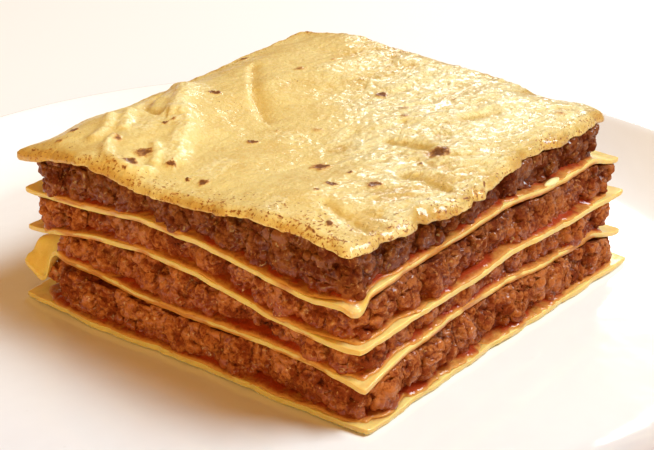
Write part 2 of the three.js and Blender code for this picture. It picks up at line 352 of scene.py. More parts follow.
def serve(piece, slot, *nodes):
    """Hands a finished piece over to the frame."""
    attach(piece, BODY)
    if nodes:
        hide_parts(*nodes)


# Node trees

class Link:
    """An output socket. Python's signs on it add Math nodes."""

    def __init__(self, tree, socket):
        self.tree = tree
        self.socket = socket

    def maths(self, operation, *others):
        values = dict(enumerate((self, *others)))
        return self.tree.add("ShaderNodeMath", {"operation": operation}, values)

    def __add__(self, other):
        return self.maths("ADD", other)

    def __sub__(self, other):
        return self.maths("SUBTRACT", other)

    def __rsub__(self, other):
        return (self * -1).maths("ADD", other)

    def __mul__(self, other):
        return self.maths("MULTIPLY", other)

    __radd__ = __add__

    def at_least(self, other):
        return self.maths("MAXIMUM", other)

    def step(self, start, end):
        """A smooth step from 0 at start to 1 at end."""
        sockets = {"Value": self, "From Min": start, "From Max": end}
        return self.tree.add("ShaderNodeMapRange", {"interpolation_type": "SMOOTHSTEP"}, sockets)


class Tree:
    """Adds nodes to a node tree and links them."""

    def __init__(self, nodes):
        self.tree = nodes
        nodes.nodes.clear()

    def add(self, kind, settings=None, sockets=None, output=0):
        node = self.tree.nodes.new(kind)
        for name, value in (settings or {}).items():
            setattr(node, name, value)
        for key, value in (sockets or {}).items():
            if isinstance(value, Link):
                self.tree.links.new(value.socket, node.inputs[key])
            else:
                node.inputs[key].default_value = value
        return Link(self, node.outputs[output]) if node.outputs else node

    def mix(self, first, second, share):
        """Colours or numbers mixed: first where share is 0, second where it is 1."""
        ends = [value if isinstance(value, Link) else (*value, 1)[:4] for value in (first, second)]
        return self.add("ShaderNodeMix", {"data_type": "RGBA"}, {0: share, 6: ends[0], 7: ends[1]}, 2)

    def layered(self, colour, *layers):
        """A colour with others laid over it in turn, each by its own share."""
        for layer, share in layers:
            colour = self.mix(colour, layer, share)
        return colour

    def noise(self, place, size, detail=3.0, roughness=0.55, distortion=0.0):
        """Cloudy noise from 0 to 1 with patches about size millimetres across."""
        sockets = {"Vector": place, "Scale": 1 / (size * MM), "Detail": detail}
        sockets |= {"Roughness": roughness, "Distortion": distortion}
        return self.add("ShaderNodeTexNoise", {}, sockets)

    def cells(self, place, size):
        """Distance to scattered centres about size millimetres apart."""
        return self.add("ShaderNodeTexVoronoi", {}, {"Vector": place, "Scale": 1 / (size * MM)})

    def painted(self, *names):
        """The numbers that paint() kept on the piece."""
        return [self.add("ShaderNodeAttribute", {"attribute_name": name}, {}, "Fac") for name in names]

    def bump(self, height, depth, before=None):
        """Relief of depth millimetres from a height that runs from 0 to 1."""
        sockets = {"Height": height, "Distance": depth * MM, "Strength": 1.0}
        if before:
            sockets["Normal"] = before
        return self.add("ShaderNodeBump", {}, sockets)


def new_material(name):
    material = bpy.data.materials.new(name)
    material.use_nodes = True
    tree = Tree(material.node_tree)
    place = tree.add("ShaderNodeTexCoord", output="Object")
    return material, tree, place


def finish_material(tree, **sockets):
    """Sets the shader's sockets, named with underscores for spaces, and links it to the output."""
    named = {name.replace("_", " "): value for name, value in sockets.items()}
    shader = tree.add("ShaderNodeBsdfPrincipled", {"subsurface_method": "RANDOM_WALK"}, named)
    tree.add("ShaderNodeOutputMaterial", {}, {"Surface": shader})


# Plate

def plate_section():
    """Half of the plate's section, from the middle of its underside round the rim to its well."""
    inner, outer = [], []
    for t in np.linspace(0, 1, 26):
        radius = WELL_RADIUS + (WALL_TOP_RADIUS - WELL_RADIUS) * t
        height = WELL_HEIGHT + (PLATE_HEIGHT - WELL_HEIGHT) * t**2 * (1.35 - 0.35 * t)
        inner.append((radius, height))
        outer.append((radius + 1.2 * t, height - CHINA_THICKNESS * (1 - 0.45 * t)))
    x, z = RIM_MIDDLE
    turns = np.radians(range(-40, 111, 15))
    rim = [(x + RIM_ROUND * np.cos(turn), z + RIM_ROUND * np.sin(turn)) for turn in turns]
    base = [(20, UNDERSIDE), (45, UNDERSIDE), *FOOT, (90, UNDERSIDE)]
    well = [(radius, WELL_HEIGHT) for radius in (94, 80, 62, 44, 28, 14)]
    return base + outer[:-1] + rim + inner[-2::-1] + well


def turned(section, count):
    """A solid turned on the plate's axis from its half section."""
    turn = np.arange(count) * 2 * np.pi / count
    rings = [in_space(radius * np.cos(turn), radius * np.sin(turn), height) for radius, height in section]
    return closed_rings(rings[::-1])


def china_material(look):
    material, tree, place = new_material("white_china_glaze")
    height = tree.add("ShaderNodeSeparateXYZ", {}, {"Vector": place}, "Z")
    bare_foot = 1 - height.step(0.0003, 0.0009)
    cloud = tree.noise(place, 60, 2).step(0.3, 0.7)
    speck = 1 - tree.cells(place, 9).step(0.02, 0.05)
    layers = [(look.glaze_shade, cloud * 0.5), (SPECK_COLOUR, speck * 0.12), (BARE_CLAY, bare_foot)]
    finish_material(
        tree,
        Base_Color=tree.layered(look.glaze, *layers),
        Roughness=cloud * 0.05 + 0.1 + bare_foot * 0.55,
        Normal=tree.bump(tree.noise(place, 14, 2), 0.25),
        Coat_Weight=0.3,
        Coat_Roughness=0.06,
    )
    return material


def make_plate(look):
    points, faces = turned(plate_section(), look.turns)
    plate = new_piece("china_plate", points, faces, china_material(look))
    serve(plate, "plate_glaze", "plate")


# Pasta sheets

SHEET_INSETS = [44, 32, 23, 16, 11, 8, 6, 4.4, 3.1, 2.1, 1.3, 0.7, 0.34]


def drawn_in(outline, inset):
    """A closed line in plan moved inwards."""
    return MIDDLE + (outline - MIDDLE) * (1 - np.asarray(inset) / HALF_SIDE).reshape(-1, 1)


def slab_rings(outline, height, thickness, edge_width, insets, edge_steps=6):
    """Rings of a sheet with a rounded edge, from its upper middle round the edge to its lower middle.
    height gives its middle surface, and thickness its thickness, for points in plan."""
    rings = []
    for side in (1, -1):
        for inset in insets[::side]:
            plan = drawn_in(outline, inset)
            rings.append(in_space(*plan.T, height(plan) + side * thickness(plan) / 2))
        if side == 1:
            for turn in np.radians(np.linspace(70, -70, edge_steps)):
                plan = drawn_in(outline, edge_width * (1 - np.cos(turn) ** 0.5))
                rise = np.sign(turn) * np.abs(np.sin(turn)) ** 0.6
                rings.append(in_space(*plan.T, height(plan) + rise * thickness(plan) / 2))
    return rings


def pasta_sheet_piece(number, look, material):
    node = SHEET_NODES[number]
    top = surface_of(node, 1)
    outline = pointed(outline_of(node).walk(0.4, 0.3), 0.4, 0.7)
    nibble = ripple(in_space(*outline.T, number * 40), 2.2, 5 + number, 2)
    outline = drawn_in(outline, nibble * look.edge_wobble / MM)
    edge = Outline(outline)
    thickness = look.thickness / MM

    def height(plan):
        turn, reach = polar(plan)
        near_edge = ramp(reach / edge.reach_at(turn), 0.8, 1)
        wave = ripple(in_space(*plan.T, number * 40), 9, 31 + number)
        return top.height(plan) - thickness / 2 + wave * near_edge * look.waviness / MM

    def slab(plan):
        return thickness * (1 + 0.22 * ripple(in_space(*plan.T, number * 40), 7, 51 + number, 2))

    points, faces = closed_rings(slab_rings(outline, height, slab, 0.2, SHEET_INSETS))
    return new_piece(f"lasagna_sheet_{number + 1}", points, faces, material)


def pasta_material(look):
    material, tree, place = new_material("boiled_egg_pasta")
    stain_and_front_shade, edge = tree.painted("stain_and_front_shade", "cut_edge")
    cloud = tree.noise(place, 7, 4)
    fine = tree.noise(place, 1.2, 4)
    # Sauce stain, which also lays painted shade on the front corner
    ragged = (stain_and_front_shade + (cloud - 0.5) * 0.5 + (fine - 0.5) * 0.25).step(0.15, 0.95)
    layers = [(look.dough_dark, cloud.step(0.35, 0.7)), (look.cut_edge, edge * 0.85), (look.stain_and_front_shade, ragged)]
    finish_material(
        tree,
        Base_Color=tree.layered(look.dough, *layers),
        Roughness=0.3 + fine * 0.25 + edge * 0.1,
        Normal=tree.bump(cloud, 0.3, tree.bump(tree.cells(place, 0.5) * 0.5 + fine, 0.05)),
        Specular_IOR_Level=0.3,
        Coat_Weight=cloud.step(0.35, 0.55) * 0.6,
        Coat_Roughness=0.07,
        Subsurface_Weight=0.55,
        Subsurface_Radius=(1.0, 0.55, 0.25),
        Subsurface_Scale=0.002,
    )
    return material


def stain_sheet(sheet, number, beef_above, beef_below):
    """Paints how far the sauce has soaked into a sheet, with painted shade at its front corner, and where its
    cut edge is.
    """
    points = points_of(sheet)
    normals = normals_of(sheet)
    turn, reach = polar(points[:, :2])
    facing_up = normals[:, 2] > 0
    soaked = np.zeros(len(points))
    for upper, line in ((True, beef_above), (False, beef_below)):
        if line is None:
            continue
        beyond = reach - line.reach_at(turn)
        share = 1 - ramp(beyond, -0.6, 1.3)
        soaked = np.where(facing_up == upper, share, soaked)
    left_side = 1 - ramp(points[:, 0] - MIDDLE[0], -56, -50)
    local = points[:, :2] - MIDDLE
    # Corner tips are kept clear of stain, but for the front corner, where the stain colour stays as painted
    # shade
    at_tip = ramp(np.abs(local).min(axis=1), 40, 45) * (1 - 0.9 * (local.max(axis=1) < 0))
    run = ramp(ripple(in_space(0, points[:, 1], 70 * number), 9, 61 + number, 2), -0.6, 0.6)
    lip = ramp(normals[:, 2], -0.6, 0.7)
    drips_and_front_shade = left_side * (0.15 * run + 0.1 * lip) * (number > 0)
    # Painted shade: the stain colour laid over the front corner
    drips_and_front_shade += 0.3 * ramp(-local.max(axis=1), 45, 51)
    paint(sheet, "stain_and_front_shade", np.clip((soaked + drips_and_front_shade) * (1 - 0.95 * at_tip), 0, 1))
    paint(sheet, "cut_edge", 1 - ramp(np.abs(normals[:, 2]), 0.25, 0.8))


# Minced beef

def new_node_group(name, **inputs):
    """A Geometry Nodes group with a mesh in, a mesh out and the named inputs, each a default value."""
    group = bpy.data.node_groups.new(name, "GeometryNodeTree")
    kinds = {float: "NodeSocketFloat", int: "NodeSocketInt", type(None): "NodeSocketMaterial"}
    group.interface.new_socket("Geometry", in_out="OUTPUT", socket_type="NodeSocketGeometry")
    group.interface.new_socket("Geometry", in_out="INPUT", socket_type="NodeSocketGeometry")
    for key, value in inputs.items():
        title = key.replace("_", " ")
        socket = group.interface.new_socket(title, in_out="INPUT", socket_type=kinds[type(value)])
        if value is not None:
            socket.default_value = value
    tree = Tree(group)
    entry = group.nodes.new("NodeGroupInput")
    links = {socket.name: Link(tree, socket) for socket in entry.outputs if socket.name}
    return group, tree, links


def moved_along(tree, geometry, way, distance):
    push = tree.add("ShaderNodeVectorMath", {"operation": "SCALE"}, {0: way, "Scale": distance})
    return tree.add("GeometryNodeSetPosition", {}, {"Geometry": geometry, "Offset": push})


def crumb_group():
    """Scatters uneven crumbs over the steep faces of a mesh and joins them to it."""
    defaults = {"Spacing": 0.0025, "Smallest": 0.001, "Largest": 0.0022, "Sink": 0.001, "Unevenness": 0.0012}
    group, tree, given = new_node_group("beef crumbs", **defaults, Seed=1, Finish=None)
    normal = tree.add("GeometryNodeInputNormal")
    upright = tree.add("ShaderNodeSeparateXYZ", {}, {"Vector": normal}, "Z").maths("ABSOLUTE")
    steep = upright.maths("LESS_THAN", 0.85)
    settings = {"distribute_method": "POISSON"}
    sockets = {"Mesh": given["Geometry"], "Selection": steep, "Distance Min": given["Spacing"]}
    sockets |= {"Density Max": 900000.0, "Seed": given["Seed"]}
    points = tree.add("GeometryNodeDistributePointsOnFaces", settings, sockets)
    outward = Link(tree, points.socket.node.outputs["Normal"])
    points = moved_along(tree, points, outward, given["Sink"] * -1)
    ball = tree.add("GeometryNodeMeshIcoSphere", {}, {"Radius": 1.0, "Subdivisions": 2})
    settings = {"data_type": "FLOAT"}
    girth = {2: given["Smallest"], 3: given["Largest"] * 0.8, "Seed": given["Seed"]}
    length = {2: given["Largest"] * 0.7, 3: given["Largest"] * 1.25, "Seed": given["Seed"] + 3}
    girth = tree.add("FunctionNodeRandomValue", settings, girth, 1)
    length = tree.add("FunctionNodeRandomValue", settings, length, 1)
    size = tree.add("ShaderNodeCombineXYZ", {}, {"X": girth, "Y": girth, "Z": length})
    turns = {0: (0, 0, 0), 1: (6.283, 6.283, 6.283), "Seed": given["Seed"] + 7}
    turn = tree.add("FunctionNodeRandomValue", {"data_type": "FLOAT_VECTOR"}, turns)
    sockets = {"Points": points, "Instance": ball, "Rotation": turn, "Scale": size}
    crumbs = tree.add("GeometryNodeInstanceOnPoints", {}, sockets)
    join = group.nodes.new("GeometryNodeJoinGeometry")
    for part in (crumbs, given["Geometry"]):
        group.links.new(part.socket, join.inputs[0])
    real = tree.add("GeometryNodeRealizeInstances", {}, {"Geometry": Link(tree, join.outputs[0])})
    rough = tree.noise(tree.add("GeometryNodeInputPosition"), 2.0, 2)
    uneven = moved_along(tree, real, normal, (rough - 0.5) * given["Unevenness"])
    finished = tree.add("GeometryNodeSetMaterial", {}, {"Geometry": uneven, "Material": given["Finish"]})
    tree.add("NodeGroupOutput", {}, {"Geometry": finished})
    return group


def merged_copy(node, name):
    """A copy of a CAD node with its shared corners merged."""
    return through(placed(name, CAD[node].data.copy()), name, "WELD", merge_threshold=0.00001)


def with_nodes(piece, name, group, **inputs):
    """The plain mesh that a Geometry Nodes group makes of a piece, its inputs set by identifier."""
    modifier = piece.modifiers.new(group.name, "NODES")
    modifier.node_group = group
    named = {item.name: item.identifier for item in group.interface.items_tree if item.in_out == "INPUT"}
    for key, value in inputs.items():
        modifier[named[key.replace("_", " ")]] = value
    made = plain_copy(piece, name)
    discard(piece)
    return made


def joined(name, *pieces):
    """One mesh of several pieces, which are then thrown away."""
    made = bmesh.new()
    for piece in pieces:
        made.from_mesh(piece.data)
        discard(piece)
    mesh = bpy.data.meshes.new(name)
    made.to_mesh(mesh)
    made.free()
    return placed(name, mesh)


# How far back and how far right each layer of beef reaches from the portion's middle
BEEF_BACKS = (48.5, 43.0, 52.0, 51.0)
BEEF_RIGHTS = (60.0, 60.0, 60.0, 48.0)

# How deep the beef is grained, how far it stays off a sheet, and the most triangles of a layer
SHOWN_DEPTH = 14
FILM_GAP = 0.03
BEEF_TRIANGLES = 190000


def beef_limit(number):
    """The outline of the sheet under a layer of beef, cut off behind the beef and right of it."""
    line = outline_of(SHEET_NODES[number]).walk(0.5, 0.5)
    line = np.minimum(line, MIDDLE + (BEEF_RIGHTS[number], BEEF_BACKS[number]))
    return Outline(line)


def beef_margin(plan, number, look):
    """How far inside a sheet's edge the beef ends at points in plan, less along parts of the left side."""
    on_left = 1 - ramp(plan[:, 0] - MIDDLE[0], -53, -47)
    set_back = ramp(ripple(in_space(0, plan[:, 1], 90 * number), 13, 97, 2), 0.0, 0.4) * look.set_back
    return (look.margin + (look.margin_left + set_back - look.margin) * on_left) / MM


def beef_bed(number, look, sheet_line, floor, roof):
    """The lumpy bed of beef that fills a layer out to a little inside the sheet under it."""
    line = sheet_line.walk(1.0, 3.5)
    around = in_space(*line.T, 50 * number)
    margin = beef_margin(line, number, look)
    margin = margin + look.lumpiness / MM * (0.4 + 0.8 * ripple(around, 9, 91 + number, 2))
    line = drawn_in(line, margin + 1.0)
    rings = []
    for share in (0.08, 0.3, 0.5, 0.7, 0.92):
        bulge = 0.6 * np.sin(share * np.pi) + 0.7 * ripple(in_space(*line.T, 9 * share), 5, 95 + number)
        plan = drawn_in(line, 0.5 - bulge)
        low = floor.height(plan)
        rings.append(in_space(*plan.T, low + (roof.height(plan) - low) * share))
    points, faces = closed_rings(rings[::-1])
    return new_piece("beef_bed", points, faces)


def beef_grain(skin, number):
    """How far the grain lifts points of the beef's skin, how much highlight is painted on its crests, and
    where cracks run.
    """
    swayed = (skin + 1.3 * sway(skin, 5, 310, 2, 3)) * (1, 1, 0.6)
    nearest, second = pebbles(swayed, 6.5, 10 + number)
    crack = (1 - ramp(second - nearest, 0.02, 0.2)) * ramp(ripple(skin, 7, 330 + number, 2), -0.25, 0.35)
    bent = skin + 0.75 * sway(skin, 2.1, 300, 2, 3)
    middling = granules(bent, 3.4, 15 + number)
    coarse = granules(bent, 1.9, 20 + number)
    small = granules(bent, 1.0, 40 + number)
    strings = ridges(bent, 2.6, 340 + number, 3)
    lift = 1.2 * (0.62 - nearest) + 0.2 * middling + 0.35 * coarse + 0.45 * small
    lift += 0.3 * strings - 0.5 * crack
    lift += 0.8 * ripple(skin, 9, 60 + number, 2) + 0.4 * ripple(skin, 1.6, 70 + number, 2)
    # The second value is painted highlight, higher on the crests of grains, strings and lumps
    light = 0.2 * middling + 0.35 * coarse + 0.4 * small + 0.35 * strings + 1.2 * (0.55 - nearest)
    return lift, light, crack


def beef_piece(number, look, group, material, sheet_line, floor, roof):
    """One layer of beef: crumbs over the layer's solid, melted together and grained."""
    name = f"minced_beef_{number + 1}"
    bed = beef_bed(number, look, sheet_line, floor, roof)
    piece = joined(name, merged_copy(BEEF_NODES[number], name), bed)
    sizes = {"Spacing": look.spacing, "Smallest": look.smallest, "Largest": look.largest}
    piece = with_nodes(piece, name, group, **sizes, Sink=look.sink, Seed=3 + 10 * number, Finish=material)
    voxel = look.grain_detail
    piece = through(piece, name, "REMESH", mode="VOXEL", voxel_size=voxel, use_smooth_shade=True)
    points = points_of(piece)
    points[:, :2] = kept_within(points[:, :2], sheet_line, 0.5 + beef_margin(points[:, :2], number, look))
    move_points(piece, points)
    normals = normals_of(piece)
    reach = np.abs(points[:, :2] - MIDDLE).max(axis=1)
    shown = np.nonzero((np.abs(normals[:, 2]) < 0.96) & (reach > HALF_SIDE - SHOWN_DEPTH))[0]
    lift, light, crack = beef_grain(points[shown], number)
    lift *= (1 - ramp(np.abs(normals[shown, 2]), 0.75, 0.95)) * look.grain / MM
    points[shown] += normals[shown] * lift[:, None]
    low, high = floor.height(points[:, :2]), roof.height(points[:, :2])
    points[:, 2] = np.clip(points[:, 2], low + FILM_GAP, high - FILM_GAP)
    move_points(piece, points)
    # grain holds the painted highlight on the crests, and crevice the cracks that the material paints with
    # shade
    for title, values in (("grain", light), ("crevice", crack)):
        everywhere = np.zeros(len(points))
        everywhere[shown] = values
        paint(piece, title, everywhere)
    triangles = sum(len(p.vertices) - 2 for p in piece.data.polygons)
    if triangles > BEEF_TRIANGLES:
        piece = through(piece, name, "DECIMATE", ratio=BEEF_TRIANGLES / triangles)
        points = points_of(piece)
        low, high = floor.height(points[:, :2]), roof.height(points[:, :2])
    piece.name = name
    piece.data.name = name
    piece.data.materials.clear()
    piece.data.materials.append(material)
    piece.data.shade_smooth()
    turn, reach = polar(points[:, :2])
    outer = widest_line(turn, reach)
    paint(piece, "rise", np.clip((points[:, 2] - low) / (high - low), 0, 1))
    # depth: how far a point lies back from the outermost beef, for painted shade in recesses
    paint(piece, "depth", np.clip((outer.reach_at(turn) - reach) / 6, 0, 1))
    # Painted shade: a base amount, more high up under the cheese top, and a little less at the far left
    darker_left = 0.1 * ramp(points[:, 0] - MIDDLE[0], -50, -42)
    paint(piece, "shade_under_cheese", 0.25 + 0.85 * ramp(points[:, 2], 30, 42) + darker_left)
    return piece


def kept_within(plan, line, margin):
    """Points in plan drawn back, the further the more, so that few pass a margin inside an outline."""
    turn, reach = polar(plan)
    over = np.maximum(reach - (line.reach_at(turn) - margin), 0)
    kept = reach - over + np.tanh(over * 0.8)
    return MIDDLE + (plan - MIDDLE) * (kept / np.maximum(reach, 1e-6))[:, None]


def widest_line(turn, reach, ease=3.0, count=720):
    """The closed line that lies round the furthest points in each direction."""
    slot = np.floor((turn + np.pi) / (2 * np.pi) * count).astype(int) % count
    furthest = np.zeros(count)
    np.maximum.at(furthest, slot, reach)
    known = np.nonzero(furthest)[0]
    furthest = np.interp(np.arange(count), known, furthest[known], period=count)
    middle = (np.arange(count) + 0.5) / count * 2 * np.pi - np.pi
    furthest = eased(furthest, ease)
    return Outline(MIDDLE + furthest[:, None] * np.column_stack([np.cos(middle), np.sin(middle)]))


def beef_material(look):
    material, tree, place = new_material("minced_beef_in_sauce")
    rise, depth, grain, crevice, shade_under_cheese = tree.painted("rise", "depth", "grain", "crevice", "shade_under_cheese")
    patch = tree.noise(place, 6, 3)
    lump = tree.noise(place, 2.2, 4, 0.6)
    fine = tree.noise(place, 0.7, 4, 0.65)
    # Paler beef at random, with the painted highlight on the grains' crests added
    pale_bits_and_crest_light = grain * 0.34 + (patch - 0.5) * 0.9 + (lump - 0.5) * 0.6 + (fine - 0.5) * 0.9 + 0.5
    saucy = (1 - rise + (patch - 0.5) * 1.4).step(0.55, 0.95)
    layers = [
        (look.meat_pale_and_lit, pale_bits_and_crest_light.step(0.52, 0.95)),
        # Darker beef at random, with painted shade between the grains
        (look.meat_dark_and_shade, (1 - pale_bits_and_crest_light).step(0.5, 0.85) * 0.9),
        (look.sauce, saucy * 0.7),
        # Painted shade in cracks and recesses
        (look.meat_dark_and_shade, (crevice * 0.6 + depth * 0.5).step(0.3, 1.1) * 0.7),
        # Painted shade under the cheese top
        (look.meat_dark_and_shade, shade_under_cheese * 0.52),
        (look.fat, (fine * 0.7 + lump * 0.4).step(0.63, 0.74) * 0.5),
    ]
    wet = (patch * 0.6 + lump * 0.5).step(0.5, 0.62)
    finish_material(
        tree,
        Base_Color=tree.layered(look.meat, *layers),
        Roughness=(0.75 - saucy * 0.2 - wet * 0.15 + (fine - 0.5) * 0.2).at_least(0.2),
        Normal=tree.bump(lump, 0.45, tree.bump(fine, 0.6)),
        Specular_IOR_Level=0.06,
        Coat_Weight=(wet * 0.6).at_least(saucy * 0.75),
        Coat_Roughness=0.04,
    )
    return material


def make_beef(look):
    group = crumb_group()
    material = beef_material(look)
    tops = [surface_of(node, 1) for node in SHEET_NODES]
    undersides = [surface_of(node, -1) for node in SHEET_NODES[1:] + [TOP_NODE]]
    for number, node in enumerate(BEEF_NODES):
        line = beef_limit(number)
        piece = beef_piece(number, look, group, material, line, tops[number], undersides[number])
        serve(piece, "beef", node)


# Sauce

# The beef's foot is what lies this close to the sheet under it
FOOT_HEIGHT = 2.4


def sauce_piece(number, look, points, floor, sheet_line, material):
    """The film of sauce that runs out from the foot of the beef over a sheet."""
    foot = points[points[:, 2] - floor.height(points[:, :2]) < FOOT_HEIGHT, :2]
    line = widest_line(*polar(foot), ease=2.0).walk(0.3, 0.6)
    turn, beef_reach = polar(line)
    around = in_space(*line.T, 30 * number)
    on_left = 1 - ramp(line[:, 0] - MIDDLE[0], -53, -47)
    short = 1.6 * ramp(ripple(around, 8, 71 + number, 3), 0.1, 0.7)
    short += 0.8 * ramp(ripple(around, 2.2, 76 + number, 2), -0.2, 1)
    short += 6 * ramp(np.abs(line - MIDDLE).min(axis=1), 37, 45)
    edge = sheet_line.reach_at(turn)
    over_edge = on_left * 0.16 * ramp(ripple(around, 5, 73 + number, 2), -0.5, 0.4)
    outer = np.maximum(edge - 0.12 - short * (1 - 0.7 * on_left) * look.recess / MM, beef_reach + 0.2)
    outer = np.minimum(np.minimum(outer, beef_reach + look.reach / MM), edge - 0.05 + over_edge)
    inner = beef_reach - 3.2
    pool = ramp(ripple(around, 6, 81 + number, 2), -0.2, 0.7)
    hang = ramp(outer - edge, -0.05, 0.1) * (0.35 + 0.3 * ripple(around, 2.6, 74 + number, 2))
    ways = np.column_stack([np.cos(turn), np.sin(turn)])
    rings, thickness = [], []
    for share in np.sin(np.linspace(0, 1, 16) * np.pi / 2):
        plan = MIDDLE + (inner + (outer - inner) * share)[:, None] * ways
        place = in_space(*plan.T, 30 * number)
        swell = 0.45 + 0.4 * ripple(place, 1.5, 85 + number, 2) + 0.3 * granules(place, 1.5, 77 + number)
        bank = np.clip(1 - share, 0, 1) * (1.2 + 1.3 * pool)
        lip = np.sqrt(np.clip((1 - share) / 0.12, 0, 1))
        depth = look.depth / MM * (bank + (0.3 + 0.45 * swell + 0.4 * pool) * lip)
        rings.append(in_space(*plan.T, floor.height(plan) + depth))
        thickness.append(depth)
    for share in (1, 0):
        plan = MIDDLE + (inner + (outer - inner) * share)[:, None] * ways
        rings.append(in_space(*plan.T, floor.height(plan) - (0.12 + share * hang)))
        thickness.append(np.full(len(plan), 0.1))
    faces = ring_faces(len(rings), len(line), closed=True)
    piece = new_piece(f"tomato_sauce_{number + 1}", np.vstack(rings), faces, material)
    paint(piece, "thickness", np.concatenate(thickness))
    return piece


def made_piece(name):
    piece = bpy.data.objects.get(name)
    if piece is None:
        raise RuntimeError(f"make {name} first")
    return piece


def make_sauce(look):
    material = sauce_material(look)
    for number, node in enumerate(SHEET_NODES):
        points = points_of(made_piece(f"minced_beef_{number + 1}"))
        serve(sauce_piece(number, look, points, surface_of(node, 1), outline_of(node), material), "beef")


def make_pasta(look):
    material = pasta_material(look)
    feet, heads = [], []
    for number in range(len(SHEET_NODES)):
        beef = made_piece(f"minced_beef_{number + 1}")
        points = points_of(beef)
        rise = np.empty(len(points), np.float32)
        beef.data.attributes["rise"].data.foreach_get("value", rise)
        feet.append(widest_line(*polar(points[rise < 0.25, :2])))
        heads.append(widest_line(*polar(points[rise > 0.75, :2])))
    for number, node in enumerate(SHEET_NODES):
        sheet = pasta_sheet_piece(number, look, material)
        stain_sheet(sheet, number, feet[number], heads[number - 1] if number else None)
        serve(sheet, "pasta", node)


def sauce_material(look):
    material, tree, place = new_material("tomato_sauce")
    cloud = tree.noise(place, 4, 4)
    pulp = tree.noise(place, 0.9, 3)
    thick = (tree.painted("thickness")[0] + (cloud - 0.5) * 0.9 + (pulp - 0.5) * 0.4).step(0.15, 0.85)
    layers = [(look.sauce, thick), (look.sauce_dark, (1 - pulp).step(0.5, 0.8) * thick * 0.6)]
    finish_material(
        tree,
        Base_Color=tree.layered(look.sauce_thin, *layers),
        Roughness=0.5 - thick * 0.12 + pulp * 0.2,
        Normal=tree.bump(pulp, 0.35, tree.bump(cloud, 0.6)),
        Specular_IOR_Level=0.1,
        Coat_Weight=0.3 + thick * 0.6,
        Coat_Roughness=0.04,
    )
    return material


# Baked cheese top

# The skin's folds: height, how wide the left and the right slope are, and the crest line in plan
FOLDS = [
    (1.0, (3.8, 2.2), [(-6.9, 48.7), (-8.7, 44.2), (-13.3, 39), (-19.1, 35.5), (-24.9, 32)]),
    (-0.7, (1.6, 1.2), [(-12.5, 49.9), (-18.1, 46.7), (-25.8, 40.3), (-26.9, 34.2)]),
    (0.9, (2.2, 3.6), [(-23.7, 27.7), (-29.4, 21.6), (-35.2, 18), (-39.9, 14.7), (-44.2, 11.1)]),
    (0.8, (2.0, 2.0), [(-36.3, 41.3), (-39.3, 38.6), (-44, 36.4), (-47.1, 35.5)]),
    (0.7, (1.6, 1.6), [(-31.2, 40.1), (-35.4, 36.7), (-39.2, 33.7)]),
    (0.8, (1.4, 1.6), [(-45.7, 30.7), (-49.9, 28.7), (-53.8, 24.7), (-54.9, 20.2), (-54.4, 16.2),
      (-51.4, 13.2)]),
    (0.6, (1.5, 1.5), [(-41.6, 20.2), (-44.4, 16.7), (-47.9, 14.8)]),
    (-0.5, (3.5, 1.2), [(14.9, 40.9), (6.1, 32.2), (-3, 23.2), (-10.8, 12.3)]),
    (-0.5, (1.5, 1.5), [(-5.9, -21.8), (-5.4, -25.8), (-4.4, -30.8), (-7.1, -34.8)]),
    (-0.6, (1.6, 1.6), [(-20.9, -37.3), (-19.4, -41.8), (-19.9, -47.8)]),
    (-0.5, (1.4, 1.4), [(-45.4, -34.8), (-47.4, -40.8), (-48.4, -46.8)]),
    (-0.4, (1.4, 1.4), [(40.8, -40.4), (43, -43.9)]),
    (-0.5, (1.8, 1.8), [(17.1, -28.2), (21.1, -28.8), (25.3, -30.8)]),
]

# Broad swells and dips of the skin in plan: x, y, reach along x and along y, and height
SWELLS = [
    (-33, 47, 13, 8, 0.6), (-49, 44, 5, 6, 0.8), (58, 52, 8, 10, 0.8),
    (-54, 53, 7, 7, 1.5), (56, -31, 9, 7, -2.0), (57, 6, 5, 5, -1.7),
]

# The way that the film's wrinkles run in plan
WRINKLE_WAY = np.array([0.97, -0.24])
WRINKLE_TURN = 0.243

# Toasted spots in plan: x, y, radius and how dark each is
TOASTED_SPOTS = [
    (-27.7, -19, 2.7, 0.85), (-36.8, -29.1, 1.7, 0.9), (-30.4, -36.2, 2.3, 0.75), (-5.9, -36.3, 3.2, 0.8),
    (-25.1, 4.4, 1.5, 0.85), (-8, 32.6, 1.7, 1.0), (22.6, 51, 1.5, 1.0), (50.9, 50.3, 1.4, 0.9),
    (19.9, 28, 1.9, 0.5), (18.6, -0.8, 2.0, 0.85), (-10.1, -3.6, 1.4, 0.5), (-15.8, 4.7, 1.0, 0.5),
    (51.3, 38.1, 2.2, 0.35), (13.2, -12, 2.3, 0.5), (8.3, -15.8, 1.1, 0.6), (-45.6, 29.1, 1.6, 0.6),
    (-46.3, 19.4, 2.7, 0.75), (-51.9, 18.4, 2.4, 0.8), (-46.5, 10.4, 1.5, 0.8), (-49.4, 1.9, 1.0, 0.9),
    (-49.3, -2.6, 1.7, 0.75), (-31.3, 27.2, 1.2, 0.8), (-29.2, 26.6, 1.1, 0.6), (-45.9, 44.7, 1.6, 0.8),
    (-51.3, 43.7, 1.5, 0.6), (-52, -41.5, 1.3, 0.8), (-28.2, -27.8, 0.8, 0.9), (-41.7, -29.4, 1.0, 0.8),
    (-12.5, -36.2, 1.1, 0.8), (26, -18.1, 1.0, 0.6), (45.2, -33.6, 2.2, 0.45), (37, -43.3, 1.7, 0.5),
    (23.6, 9.1, 0.9, 0.6), (36.2, 10, 0.8, 0.5), (30.8, -35, 0.8, 0.4), (30.1, 24.2, 1.2, 0.5),
]

